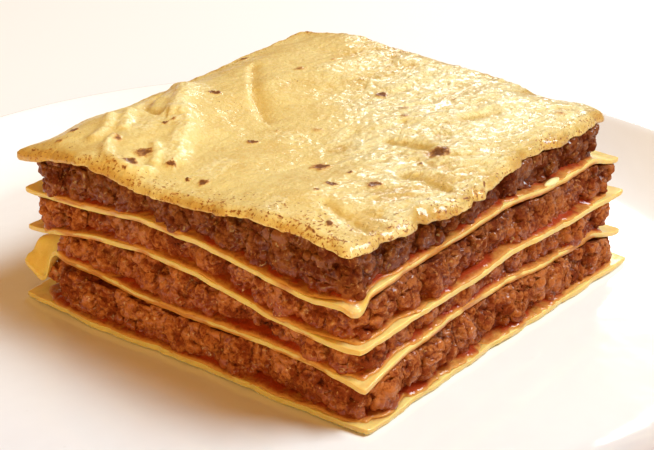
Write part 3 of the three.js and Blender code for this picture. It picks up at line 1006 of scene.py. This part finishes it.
# Bites out of the rim's front side, or lobes where negative: x in plan, half width and depth
RIM_BITES = [
    (-47.3, 2.2, 1.9), (-43, 2.5, 0.9), (-34.9, 1.6, 2.1), (-31, 2.2, 1.1), (-16.2, 1.6, 1.5),
    (-9.5, 2, 0.6), (12, 4, 1.2), (19.5, 2.5, 1.2), (26.5, 4, -1.4), (33, 1.5, 0.5),
]

# The rim's blunt left corner: its place in plan, how far it is drawn in, and how wide
BLUNT_PLACE = np.array([-56.5, 54.5])
BLUNT_DEPTH = 0.6
BLUNT_WIDTH = 3.2

# Rings down the rim's side: share of its height, and how far each is drawn in
SIDE_RINGS = ((0.75, -0.1), (0.45, -0.12), (0.2, -0.04), (0.08, 0.16), (0.02, 0.6), (0.0, 2.2))


def bitten(line):
    """The rim's line in plan with its bites and its blunt left corner."""
    local = line - MIDDLE
    moved = local.copy()
    at_front = 1 - ramp(local[:, 1], -46, -42)
    for x, width, depth in RIM_BITES:
        moved[:, 1] += at_front * 0.8 * depth * np.exp(-(((local[:, 0] - x) / width) ** 2))
    gap = np.linalg.norm(local - BLUNT_PLACE, axis=1)
    inward = np.exp(-((gap / BLUNT_WIDTH) ** 2))[:, None] * -BLUNT_PLACE / np.linalg.norm(BLUNT_PLACE)
    return MIDDLE + moved + BLUNT_DEPTH * inward


def fold_relief(plan, height, slopes, line):
    """Relief of a fold whose crest follows a line, with a slope of its own on each side."""
    line = np.array(line, float)
    best = np.full(len(plan), 1e9)
    side = np.ones(len(plan))
    for start, end in zip(line[:-1], line[1:]):
        run = end - start
        share = np.clip((plan - start) @ run / (run @ run), 0, 1)
        gap = plan - (start + share[:, None] * run)
        distance = np.linalg.norm(gap, axis=1)
        closer = distance < best
        best = np.where(closer, distance, best)
        side = np.where(closer, np.sign(run[0] * gap[:, 1] - run[1] * gap[:, 0]), side)
    width = np.where(side > 0, slopes[0], slopes[1])
    return height * np.exp(-((best / width) ** 2))


def cheese_relief(plan, inset):
    """Height of the skin's folds, wrinkles and blisters over the solid, and the masks that colour it, painted
    shade and highlight among them.
    """
    plan = plan - MIDDLE
    flat = in_space(*plan.T)
    warp = 3.5 * sway(flat, 13, 201, 2, 2)
    bent = plan + warp + 0.5 * sway(flat, 2.4, 221, 2, 2)
    film = ramp(plan @ CAMERA_RIGHT + 9 * ripple(flat, 18, 203, 2), -8, 12)
    folds = sum(fold_relief(plan + 0.25 * warp, *fold) for fold in FOLDS)
    along = bent @ WRINKLE_WAY
    across = bent @ np.array([-WRINKLE_WAY[1], WRINKLE_WAY[0]])
    streaks = ridges(in_space(along / 2.6, across), 4.2, 204, 3)
    crumple = ridges(in_space(along / 1.5, across), 1.9, 205, 2)
    crinkles = ridges(in_space(along / 1.6, across), 0.95, 218, 2)
    broad = ripple(in_space(along / 2.4, across), 8, 225, 3)
    beads = granules(flat, 1.1, 219)
    beaded = ramp(folds, 0.25, 0.7) + 0.8 * ramp(ripple(flat, 10, 209, 2), 0.15, 0.5) + 0.3 * film
    beaded = np.clip(beaded, 0, 1)
    relief = 1.6 * folds + 0.3 * ripple(flat, 15, 206) + 0.2 * ripple(in_space(*bent.T), 7, 207, 2)
    relief += film * (0.26 * streaks + 0.13 * crumple + 0.04 * crinkles + 0.5 * broad - 0.1)
    relief += (1 - film) * (0.05 * crumple + 0.06 * streaks) + 0.18 * beaded * beads
    relief += 0.06 * ripple(flat, 0.9, 208, 2)
    shape = plan + 0.9 * sway(flat, 1.1, 210, 3, 2)
    toast = np.zeros(len(plan))
    for x, y, radius, darkness in TOASTED_SPOTS:
        gap = np.hypot(shape[:, 0] - x, shape[:, 1] - y) / radius
        toast = np.maximum(toast, darkness * (1 - ramp(gap, 0.25, 1.3)))
    relief += 0.3 * ramp(toast, 0.1, 0.6) * (1 - ramp(toast, 0.6, 1))
    singe = np.exp(-(((inset - 1.5 - 1.1 * ripple(flat, 4, 223, 2)) / 0.34) ** 2))
    singe *= ramp(ripple(flat, 4, 224, 3), -0.05, 0.2) * ramp(ripple(flat, 1.1, 229, 2), -0.15, 0.15)
    toast = np.maximum(toast, 0.8 * singe * (1 - ramp(plan[:, 0], 30, 50) * 0.5))
    on_left = np.exp(-np.maximum(plan[:, 0] + 56, 0) / 4.0) * (1 - ramp(plan[:, 1], 22, 40))
    pitted = np.exp(-(((plan[:, 1] + 34) / 15) ** 2)) * np.exp(-np.maximum(plan[:, 0] + 56, 0) / 5.5)
    specks = 0.75 * np.exp(-inset / 3.0) + 0.2 * on_left + 0.6 * pitted
    specks += 0.15 * ramp(ripple(flat, 12, 216, 2), 0.2, 0.6)
    specks = np.minimum(specks * (0.4 + 1.1 * ramp(ripple(flat, 4, 227, 2), -0.3, 0.4)), 0.62)
    brown = 0.35 + 0.65 * ramp(ripple(flat, 7, 228, 3), -0.4, 0.4)
    brown *= np.exp(-np.maximum(inset - 0.6, 0) / 2.4)
    brown += 0.75 * np.exp(-np.linalg.norm(plan - (-55, 53), axis=1) / 10)
    wrinkles = 0.4 * streaks + 0.35 * crumple + 0.3 * crinkles + 1.4 * broad
    # Hollows of the folds and valleys of the wrinkles, which the material paints golden as painted shade
    hollow_shade = np.clip(-folds * 1.5 + film * ramp(-wrinkles, -0.35, 0.7) + 0.25 * ripple(flat, 9, 217), 0, 1)
    # Crests of the wrinkles and folds, which the material paints pale, partly as painted highlight
    crest = film * ramp(wrinkles, 0.1, 0.9)
    crest = np.maximum(crest, beaded * (0.45 + 0.55 * ramp(beads, -0.3, 0.8)))
    masks = {"toast": toast, "hollow_shade": hollow_shade, "crest": crest, "film": film, "specks": specks, "brown": brown}
    return relief, {name: np.clip(values, 0, 1) for name, values in masks.items()}


def square_grid(outline, cells):
    """Points of a square grid stretched so that its border is the outline, and each point's inset share.
    The outline starts at its front corner and runs anticlockwise, with a quarter of its points a side."""
    steps = np.linspace(-1, 1, cells + 1)
    u, v = np.meshgrid(steps, steps)
    ring = np.maximum(np.abs(u), np.abs(v))
    safe = np.maximum(ring, 1e-9)
    a, b = u / safe, v / safe
    side = np.select(
        [np.isclose(b, -1), np.isclose(a, 1), np.isclose(b, 1)],
        [(a + 1) / 2, 1 + (b + 1) / 2, 2 + (1 - a) / 2],
        3 + (1 - b) / 2,
    )
    stations = np.arange(len(outline) + 1) * 4 / len(outline)
    closed = np.vstack([outline, outline[:1]])
    border = np.stack([np.interp(side % 4, stations, closed[:, k]) for k in range(2)], axis=-1)
    return MIDDLE + ring[..., None] * (border - MIDDLE), ring


def from_corner(outline, cells):
    """An outline of four sides with as many equal steps each, from the front corner anticlockwise."""
    corners = [np.argmin(outline @ way) for way in ([1, 1], [-1, 1], [-1, -1], [1, -1])]
    sides = []
    for start, end in zip(corners, corners[1:] + corners[:1]):
        part = np.roll(outline, -start, axis=0)[: (end - start) % len(outline) + 1]
        hops = np.linalg.norm(np.diff(part, axis=0), axis=1)
        along = np.append(0, np.cumsum(hops))
        stations = np.arange(cells) * along[-1] / cells
        sides.append(np.column_stack([np.interp(stations, along, part[:, k]) for k in range(2)]))
    return np.vstack(sides)


def grid_faces(cells, first=0):
    index = first + np.arange((cells + 1) ** 2).reshape(cells + 1, cells + 1)
    quads = np.stack([index[:-1, :-1], index[:-1, 1:], index[1:, 1:], index[1:, :-1]], axis=-1)
    return quads.reshape(-1, 4)


def border_of(cells, first=0):
    """The border points of a grid of cells, anticlockwise from its front corner."""
    index = first + np.arange((cells + 1) ** 2).reshape(cells + 1, cells + 1)
    return np.concatenate([index[0, :-1], index[:-1, -1], index[-1, :0:-1], index[:0:-1, 0]])


# A drop of melted cheese on the fourth sheet's front ledge: x and y in plan, half sizes, height of its middle
DROP_PLACE = (21.2, -50.9)
DROP_SIZE = (3.0, 0.9, 1.0)
DROP_LIFT = 0.4


def melted_drop(material):
    made = bmesh.new()
    bmesh.ops.create_icosphere(made, subdivisions=4, radius=1.0)
    mesh = bpy.data.meshes.new("melted_drop")
    made.to_mesh(mesh)
    made.free()
    mesh.materials.append(material)
    mesh.shade_smooth()
    piece = placed("melted_drop", mesh)
    points = points_of(piece)
    points /= np.linalg.norm(points, axis=1)[:, None]
    points *= np.array(DROP_SIZE) * (1 + 0.2 * ripple(points, 1.2, 251))[:, None]
    place = MIDDLE + DROP_PLACE
    level = surface_of(SHEET_NODES[3], 1).height(place[None])[0]
    move_points(piece, points + (*place, level + DROP_LIFT))
    # A crest of 1 paints the whole drop in the pale colour that also paints the crests' highlights
    paint(piece, "crest", np.ones(len(points)))
    return piece


def make_cheese(look):
    cells = 280
    coarse = cells // 4
    top = surface_of(TOP_NODE, 1, 1e-4)
    under = surface_of(TOP_NODE, -1)
    line = bitten(outline_of(TOP_NODE).walk(0.35, 0.8))
    around = in_space(*line.T)
    ragged = ripple(around, 3.4, 231, 3) + 0.2 * ripple(around, 1.1, 233)
    outline = from_corner(drawn_in(line, look.raggedness / MM * ragged), cells)
    grid, ring = square_grid(outline, cells)
    plan = grid.reshape(-1, 2)
    inset = (1 - ring.reshape(-1)) * HALF_SIDE
    relief, masks = cheese_relief(plan, inset)
    masks["rim"] = 1 - ramp(inset, 0, 1.6)
    relief *= 0.4 + 0.6 * ramp(inset, 0, 3)
    local = plan - MIDDLE
    for x, y, wide, deep, lift in SWELLS:
        relief += lift * np.exp(-(((local - (x, y)) / (wide, deep)) ** 2).sum(1))
    low = under.height(plan)
    depth = np.maximum(top.height(plan) + relief - low, 0.8)
    blunt = 0.34 + 0.5 * np.exp(-np.linalg.norm(local - (-56, 54), axis=1) / 9)
    height = low + depth * (blunt + (1 - blunt) * np.sqrt(np.clip(inset / 1.8, 0, 1)))
    points = [in_space(*plan.T, height)]
    faces = grid_faces(cells).tolist()
    border = border_of(cells)
    edge = plan[border]
    previous = border
    step = np.arange(len(border))
    after = np.roll(step, -1)
    total = len(plan)
    for share, inward in SIDE_RINGS:
        ringline = drawn_in(edge, inward)
        rough = 0.12 * ripple(in_space(*edge.T, share * 9), 1.3, 240, 2)
        z = under.height(ringline) + (height - low)[border] * share
        points.append(in_space(*drawn_in(ringline, rough).T, z))
        current = total + step
        faces += np.column_stack([previous, current, current[after], previous[after]]).tolist()
        previous = current
        total += len(border)
    lower = square_grid(drawn_in(outline, 4.5), coarse)[0].reshape(-1, 2)
    points.append(in_space(*lower.T, under.height(lower)))
    faces += grid_faces(coarse, total)[:, ::-1].tolist()
    inner = border_of(coarse, total).tolist()
    for k, corner in enumerate(inner):
        outside = previous[np.arange(4 * k, 4 * k + 5) % len(previous)].tolist()
        faces.append([*outside, inner[(k + 1) % len(inner)], corner][::-1])
    piece = new_piece("baked_cheese", np.vstack(points), faces, cheese_material(look))
    for name, values in masks.items():
        sides = np.tile(values[border], len(SIDE_RINGS))
        masks[name] = np.concatenate([values, sides, np.zeros(len(lower))])
        paint(piece, name, masks[name])
    points = points_of(piece)
    melted = 0.2 * ripple(points, 2.4, 242, 3) + 0.07 * granules(points, 1.2, 241)
    move_points(piece, points + normals_of(piece) * (masks["rim"] * melted)[:, None])
    serve(piece, "cheese", TOP_NODE)
    serve(melted_drop(piece.data.materials[0]), "cheese")


def cheese_material(look):
    material, tree, place = new_material("baked_cheese_skin")
    masks = tree.painted("toast", "hollow_shade", "crest", "film", "rim", "brown", "specks")
    toast, hollow_shade, crest, film, rim, brown, density = masks
    cloud = tree.noise(place, 16, 4)
    patch = tree.noise(place, 4, 5, 0.6)
    fine = tree.noise(place, 0.9, 4, 0.6)
    grit = tree.noise(place, 0.75, 3, 0.6)
    turned = {"Vector": place, "Rotation": (0, 0, WRINKLE_TURN), "Scale": (0.45, 1.2, 1)}
    streaky = tree.noise(tree.add("ShaderNodeMapping", {}, turned), 2.6, 6, 0.62, 1.2)
    web = 1 - (streaky - 0.5).maths("ABSOLUTE") * 9
    # Paler on crests and on the film's wrinkle web: a creamy film, with painted highlight on the crests
    cream_and_highlight_share = film * 0.04 + crest * 0.62 + film * web.step(0.0, 0.9) * 0.4
    cream_and_highlight_share += (patch - 0.5) * 1.3 + (fine - 0.5) * 1.2
    baked = rim * 0.5 + brown + (fine - 0.5) * 0.9 + (patch - 0.5) * 0.9
    speck = (grit + density * 0.22).step(0.68, 0.73) * density.step(0.03, 0.15)
    toasted = toast + (fine - 0.5) * 0.9 * toast.step(0.02, 0.3)
    dark_speck = speck * grit.step(0.55, 0.68) * 0.8
    layers = [
        (look.golden, (cloud * 0.6 + patch * 0.4).step(0.42, 0.64) * 0.5),
        (look.cream_and_highlight, (cream_and_highlight_share - brown * 0.7).step(0.1, 1.0)),
        # Small pale specks: pale grit and painted glints
        (look.cream_and_highlight, (1 - grit).step(0.56, 0.68) * (patch + film * 0.1).step(0.4, 0.6) * 0.6),
        # Golden in hollows and wrinkle valleys: painted shade
        (look.golden, (hollow_shade + (fine - 0.5) * 0.9).step(0.15, 0.8) * 0.85),
        (look.golden, (brown + (patch - 0.5) * 0.8).step(0.1, 0.7) * 0.9),
        (look.rind, baked.step(0.7, 1.3) * 0.6),
        (look.toasted, toasted.step(0.1, 0.7).at_least(speck * 0.9)),
        (look.charred, toasted.step(0.4, 0.75).at_least(dark_speck) * 0.9),
    ]
    grain = tree.bump(web.step(0, 1) * film + grit, 0.12)
    finish_material(
        tree,
        Base_Color=tree.layered(look.butter, *layers),
        Roughness=0.34 + patch * 0.2 - film * 0.12 + toast * 0.2,
        Normal=tree.bump(fine * 0.5 + patch * 0.5, 0.5, grain),
        Specular_IOR_Level=0.4,
        Coat_Weight=(film * 0.3 + crest * 0.2 + 0.3) * patch.step(0.35, 0.55),
        Coat_Roughness=0.08,
        Subsurface_Weight=0.12,
        Subsurface_Radius=(1.0, 0.6, 0.25),
        Subsurface_Scale=0.001,
    )
    return material


# Stage

def aim(light, place, target):
    light.location = place
    light.rotation_euler = (Vector(target) - Vector(place)).to_track_quat("-Z", "Y").to_euler()


def add_light(name, place, size, power, colour, target):
    light = bpy.data.lights.new(name, "AREA")
    light.shape = "RECTANGLE"
    light.size, light.size_y = size
    light.energy = power
    light.color = colour
    aim(placed(name, light), place, target)


def make_stage(look):
    scene = bpy.context.scene
    camera = bpy.data.cameras.new("camera")
    camera.sensor_width = 36
    camera.lens = CAMERA_LENS
    camera.clip_start = 0.01
    viewer = placed("camera", camera)
    viewer.location = CAMERA_PLACE
    viewer.rotation_euler = Vector(CAMERA_WAY).to_track_quat("-Z", "Y").to_euler()
    scene.camera = viewer

    bpy.ops.mesh.primitive_plane_add(size=6, location=(0, 0, 0))
    floor = bpy.context.active_object
    floor.name = "table_top"
    material, tree, place = new_material("pale_table")
    cloud = tree.noise(place, 300, 2)
    finish_material(tree, Base_Color=tree.mix(look.table, look.table_shade, cloud), Roughness=0.55)
    floor.data.materials.append(material)

    middle = np.array([*MIDDLE * MM, 0.03])
    for name, way, distance, size, power, colour in (
        ("key", (0.385, -0.443, 0.809), 2.2, (1.0, 1.0), look.key_power, look.key_colour),
        ("fill", (-0.88, -0.45, 0.18), 1.6, (1.3, 0.4), look.fill_power, look.fill_colour),
        ("back", (0.82, 0.42, 0.38), 1.6, (0.6, 0.16), look.back_power, look.back_colour),
    ):
        add_light(name, middle + np.array(way) * distance, size, power, colour, middle)

    world = bpy.data.worlds.new("studio")
    world.use_nodes = True
    background = world.node_tree.nodes["Background"]
    background.inputs["Color"].default_value = (*look.air_colour, 1)
    background.inputs["Strength"].default_value = look.air_strength
    scene.world = world
    scene.view_settings.view_transform = "Standard"


# Settings

def shade_setting(name, description, value):
    """A colour in the linear form that lights and materials use."""
    return FloatVectorProperty(
        name=name, description=description, default=value, subtype="COLOR", min=0, max=1
    )


def colour_setting(name, description, rgb):
    """A colour given as it looks on a screen, from 0 to 255."""
    share = np.array(rgb) / 255
    linear = np.where(share <= 0.04045, share / 12.92, ((share + 0.055) / 1.055) ** 2.4)
    return shade_setting(name, description, tuple(linear))


def length_setting(name, description, millimetres, low=0.0, high=10.0):
    return FloatProperty(
        name=name,
        description=description,
        default=millimetres * MM,
        min=low * MM,
        max=high * MM,
        precision=4,
        subtype="DISTANCE",
        unit="LENGTH",
    )


def power_setting(name, description, watts):
    return FloatProperty(name=name, description=description, default=watts, unit="POWER")


class PlateSettings(bpy.types.PropertyGroup):
    turns: IntProperty(name="Segments", description="Steps round the plate", default=240, min=48, max=720)
    glaze: colour_setting("Glaze", "Colour of the white glaze", (250, 249, 246))
    glaze_shade: colour_setting("Glaze shade", "Cloudier patches of the glaze", (245, 243, 239))


class PastaSettings(bpy.types.PropertyGroup):
    thickness: length_setting("Thickness", "Thickness of a boiled sheet", 1.25, 0.5, 3)
    edge_wobble: length_setting("Edge wobble", "How unevenly the edges are cut", 0.22, 0, 1)
    waviness: length_setting("Waviness", "Small waves near the edges", 0.28, 0, 1)
    dough: colour_setting("Dough", "Boiled pasta where no sauce has soaked in", (240, 212, 130))
    dough_dark: colour_setting("Dough shade", "Darker patches of the boiled pasta", (226, 190, 104))
    cut_edge: colour_setting("Cut edge", "The sheets' cut edges", (212, 180, 104))
    # The stain colour also paints shade on the front corner
    stain_and_front_shade: colour_setting("Stain", "Pasta that sauce has soaked into", (188, 118, 46))


class BeefSettings(bpy.types.PropertyGroup):
    margin: length_setting("Margin", "How far the beef lies inside a sheet's edge", 1.3, 0, 8)
    margin_left: length_setting("Left margin", "The same on the left side", 0.5, -2, 8)
    set_back: length_setting("Set back", "How far the beef stands back along parts of the left", 1.6, 0, 8)
    lumpiness: length_setting("Lumpiness", "How far the beef's lumps stand in and out", 1.6, 0, 4)
    spacing: length_setting("Crumb spacing", "Least distance between crumbs", 2.4, 1, 8)
    smallest: length_setting("Smallest crumb", "Least radius of a crumb", 0.9, 0.3, 4)
    largest: length_setting("Largest crumb", "Greatest radius of a crumb", 2.3, 0.5, 6)
    sink: length_setting("Sink", "How deep a crumb's middle lies in the layer", 1.1, 0, 4)
    grain: length_setting("Grain", "Strength of the grain on the crumbs", 1.0, 0, 3)
    grain_detail: length_setting("Grain detail", "Size of the finest grain", 0.32, 0.2, 2)
    meat: colour_setting("Meat", "Browned beef", (136, 58, 24))
    # Also paints highlights on the crumbs' crests
    meat_pale_and_lit: colour_setting("Light meat", "Paler bits of beef", (198, 116, 60))
    # Also paints shade in cracks, in recesses and under the cheese top
    meat_dark_and_shade: colour_setting("Dark meat", "Beef in the crevices", (56, 15, 5))
    sauce: colour_setting("Sauce", "Tomato sauce on the beef", (150, 54, 14))
    fat: colour_setting("Fat", "Small pale bits in the beef", (216, 162, 98))


class SauceSettings(bpy.types.PropertyGroup):
    reach: length_setting("Reach", "How far the sauce runs out from the beef", 3.0, 0, 9)
    recess: length_setting("Recess", "How far the sauce stops short of a sheet's edge", 1.3, 0, 4)
    depth: length_setting("Depth", "Depth of the sauce at the beef's foot", 0.55, 0.1, 3)
    sauce: colour_setting("Sauce", "Tomato sauce", (160, 54, 14))
    sauce_thin: colour_setting("Thin sauce", "Thin, oily sauce", (204, 140, 66))
    sauce_dark: colour_setting("Dark sauce", "Thick bits in the sauce", (104, 32, 12))


class CheeseSettings(bpy.types.PropertyGroup):
    raggedness: length_setting("Raggedness", "How ragged the baked edge is", 0.6, 0, 2)
    butter: colour_setting("Butter yellow", "Most of the baked skin", (231, 207, 132))
    # Golden also paints shade in the hollows and wrinkle valleys
    golden: colour_setting("Golden", "Browner skin in the hollows", (212, 174, 88))
    # Also paints highlights on crests and glints on the grit
    cream_and_highlight: colour_setting("Pale", "Creamy film and the folds' crests", (247, 232, 172))
    rind: colour_setting("Rind", "The baked rim", (192, 142, 60))
    toasted: colour_setting("Toasted", "Toasted spots", (192, 124, 44))
    charred: colour_setting("Charred", "Middles of the toasted spots", (104, 56, 16))


class StageSettings(bpy.types.PropertyGroup):
    table: colour_setting("Table", "Colour of the table", (252, 251, 248))
    table_shade: colour_setting("Table shade", "Cloudier patches of the table", (250, 248, 244))
    key_power: power_setting("Key", "Power of the light from the right", 62)
    fill_power: power_setting("Fill", "Power of the light from the left", 14.8)
    back_power: power_setting("Back", "Power of the light from behind", 2.7)
    key_colour: shade_setting("Key colour", "Colour of the light from the right", (0.74, 0.9, 1.0))
    fill_colour: shade_setting("Fill colour", "Colour of the light from the left", (1.0, 0.78, 0.27))
    back_colour: shade_setting("Back colour", "Colour of the light from behind", (1.0, 0.98, 0.94))
    air_colour: shade_setting("Air colour", "Colour of the light all round", (1.0, 0.42, 0.1))
    air_strength: FloatProperty(name="Air", description="Strength of the light all round", default=0.4, min=0)


# Operators

class LASAGNA_OT_plate(bpy.types.Operator):
    """Make the round white plate"""

    bl_idname = "lasagna.plate"
    bl_label = "Plate"

    def execute(self, context):
        make_plate(context.scene.lasagna_plate)
        return {"FINISHED"}


class LASAGNA_OT_beef(bpy.types.Operator):
    """Make the four layers of minced beef"""

    bl_idname = "lasagna.beef"
    bl_label = "Minced Beef"

    def execute(self, context):
        make_beef(context.scene.lasagna_beef)
        return {"FINISHED"}


class LASAGNA_OT_sauce(bpy.types.Operator):
    """Pool tomato sauce on the sheets round the beef"""

    bl_idname = "lasagna.sauce"
    bl_label = "Tomato Sauce"

    def execute(self, context):
        make_sauce(context.scene.lasagna_sauce)
        return {"FINISHED"}


class LASAGNA_OT_pasta(bpy.types.Operator):
    """Make the four pasta sheets, stained where they touch the beef"""

    bl_idname = "lasagna.pasta"
    bl_label = "Pasta Sheets"

    def execute(self, context):
        make_pasta(context.scene.lasagna_pasta)
        return {"FINISHED"}


class LASAGNA_OT_cheese(bpy.types.Operator):
    """Make the baked cheese top"""

    bl_idname = "lasagna.cheese"
    bl_label = "Baked Cheese"

    def execute(self, context):
        make_cheese(context.scene.lasagna_cheese)
        return {"FINISHED"}


class LASAGNA_OT_stage(bpy.types.Operator):
    """Set up the table, the lights and the camera"""

    bl_idname = "lasagna.stage"
    bl_label = "Stage"

    def execute(self, context):
        make_stage(context.scene.lasagna_stage)
        return {"FINISHED"}


class LASAGNA_PT_panel(bpy.types.Panel):
    """Buttons for each piece of the plate of lasagna"""

    bl_label = "Plate of Beef Lasagna"
    bl_space_type = "VIEW_3D"
    bl_region_type = "UI"
    bl_category = "Lasagna"

    def draw(self, context):
        for operator in OPERATORS:
            self.layout.operator(operator.bl_idname)


OPERATORS = [
    LASAGNA_OT_plate,
    LASAGNA_OT_beef,
    LASAGNA_OT_sauce,
    LASAGNA_OT_pasta,
    LASAGNA_OT_cheese,
    LASAGNA_OT_stage,
]
SETTINGS = {
    "lasagna_plate": PlateSettings,
    "lasagna_beef": BeefSettings,
    "lasagna_sauce": SauceSettings,
    "lasagna_pasta": PastaSettings,
    "lasagna_cheese": CheeseSettings,
    "lasagna_stage": StageSettings,
}


def register():
    for kind in (*SETTINGS.values(), *OPERATORS, LASAGNA_PT_panel):
        bpy.utils.register_class(kind)
    for name, kind in SETTINGS.items():
        setattr(bpy.types.Scene, name, PointerProperty(type=kind))


def unregister():
    for name in SETTINGS:
        delattr(bpy.types.Scene, name)
    for kind in (LASAGNA_PT_panel, *reversed(OPERATORS), *reversed(SETTINGS.values())):
        bpy.utils.unregister_class(kind)


def main():
    register()
    bpy.ops.lasagna.plate()
    bpy.ops.lasagna.beef()
    bpy.ops.lasagna.sauce()
    bpy.ops.lasagna.pasta()
    bpy.ops.lasagna.cheese()
    bpy.ops.lasagna.stage()


if __name__ == "__main__":
    main()
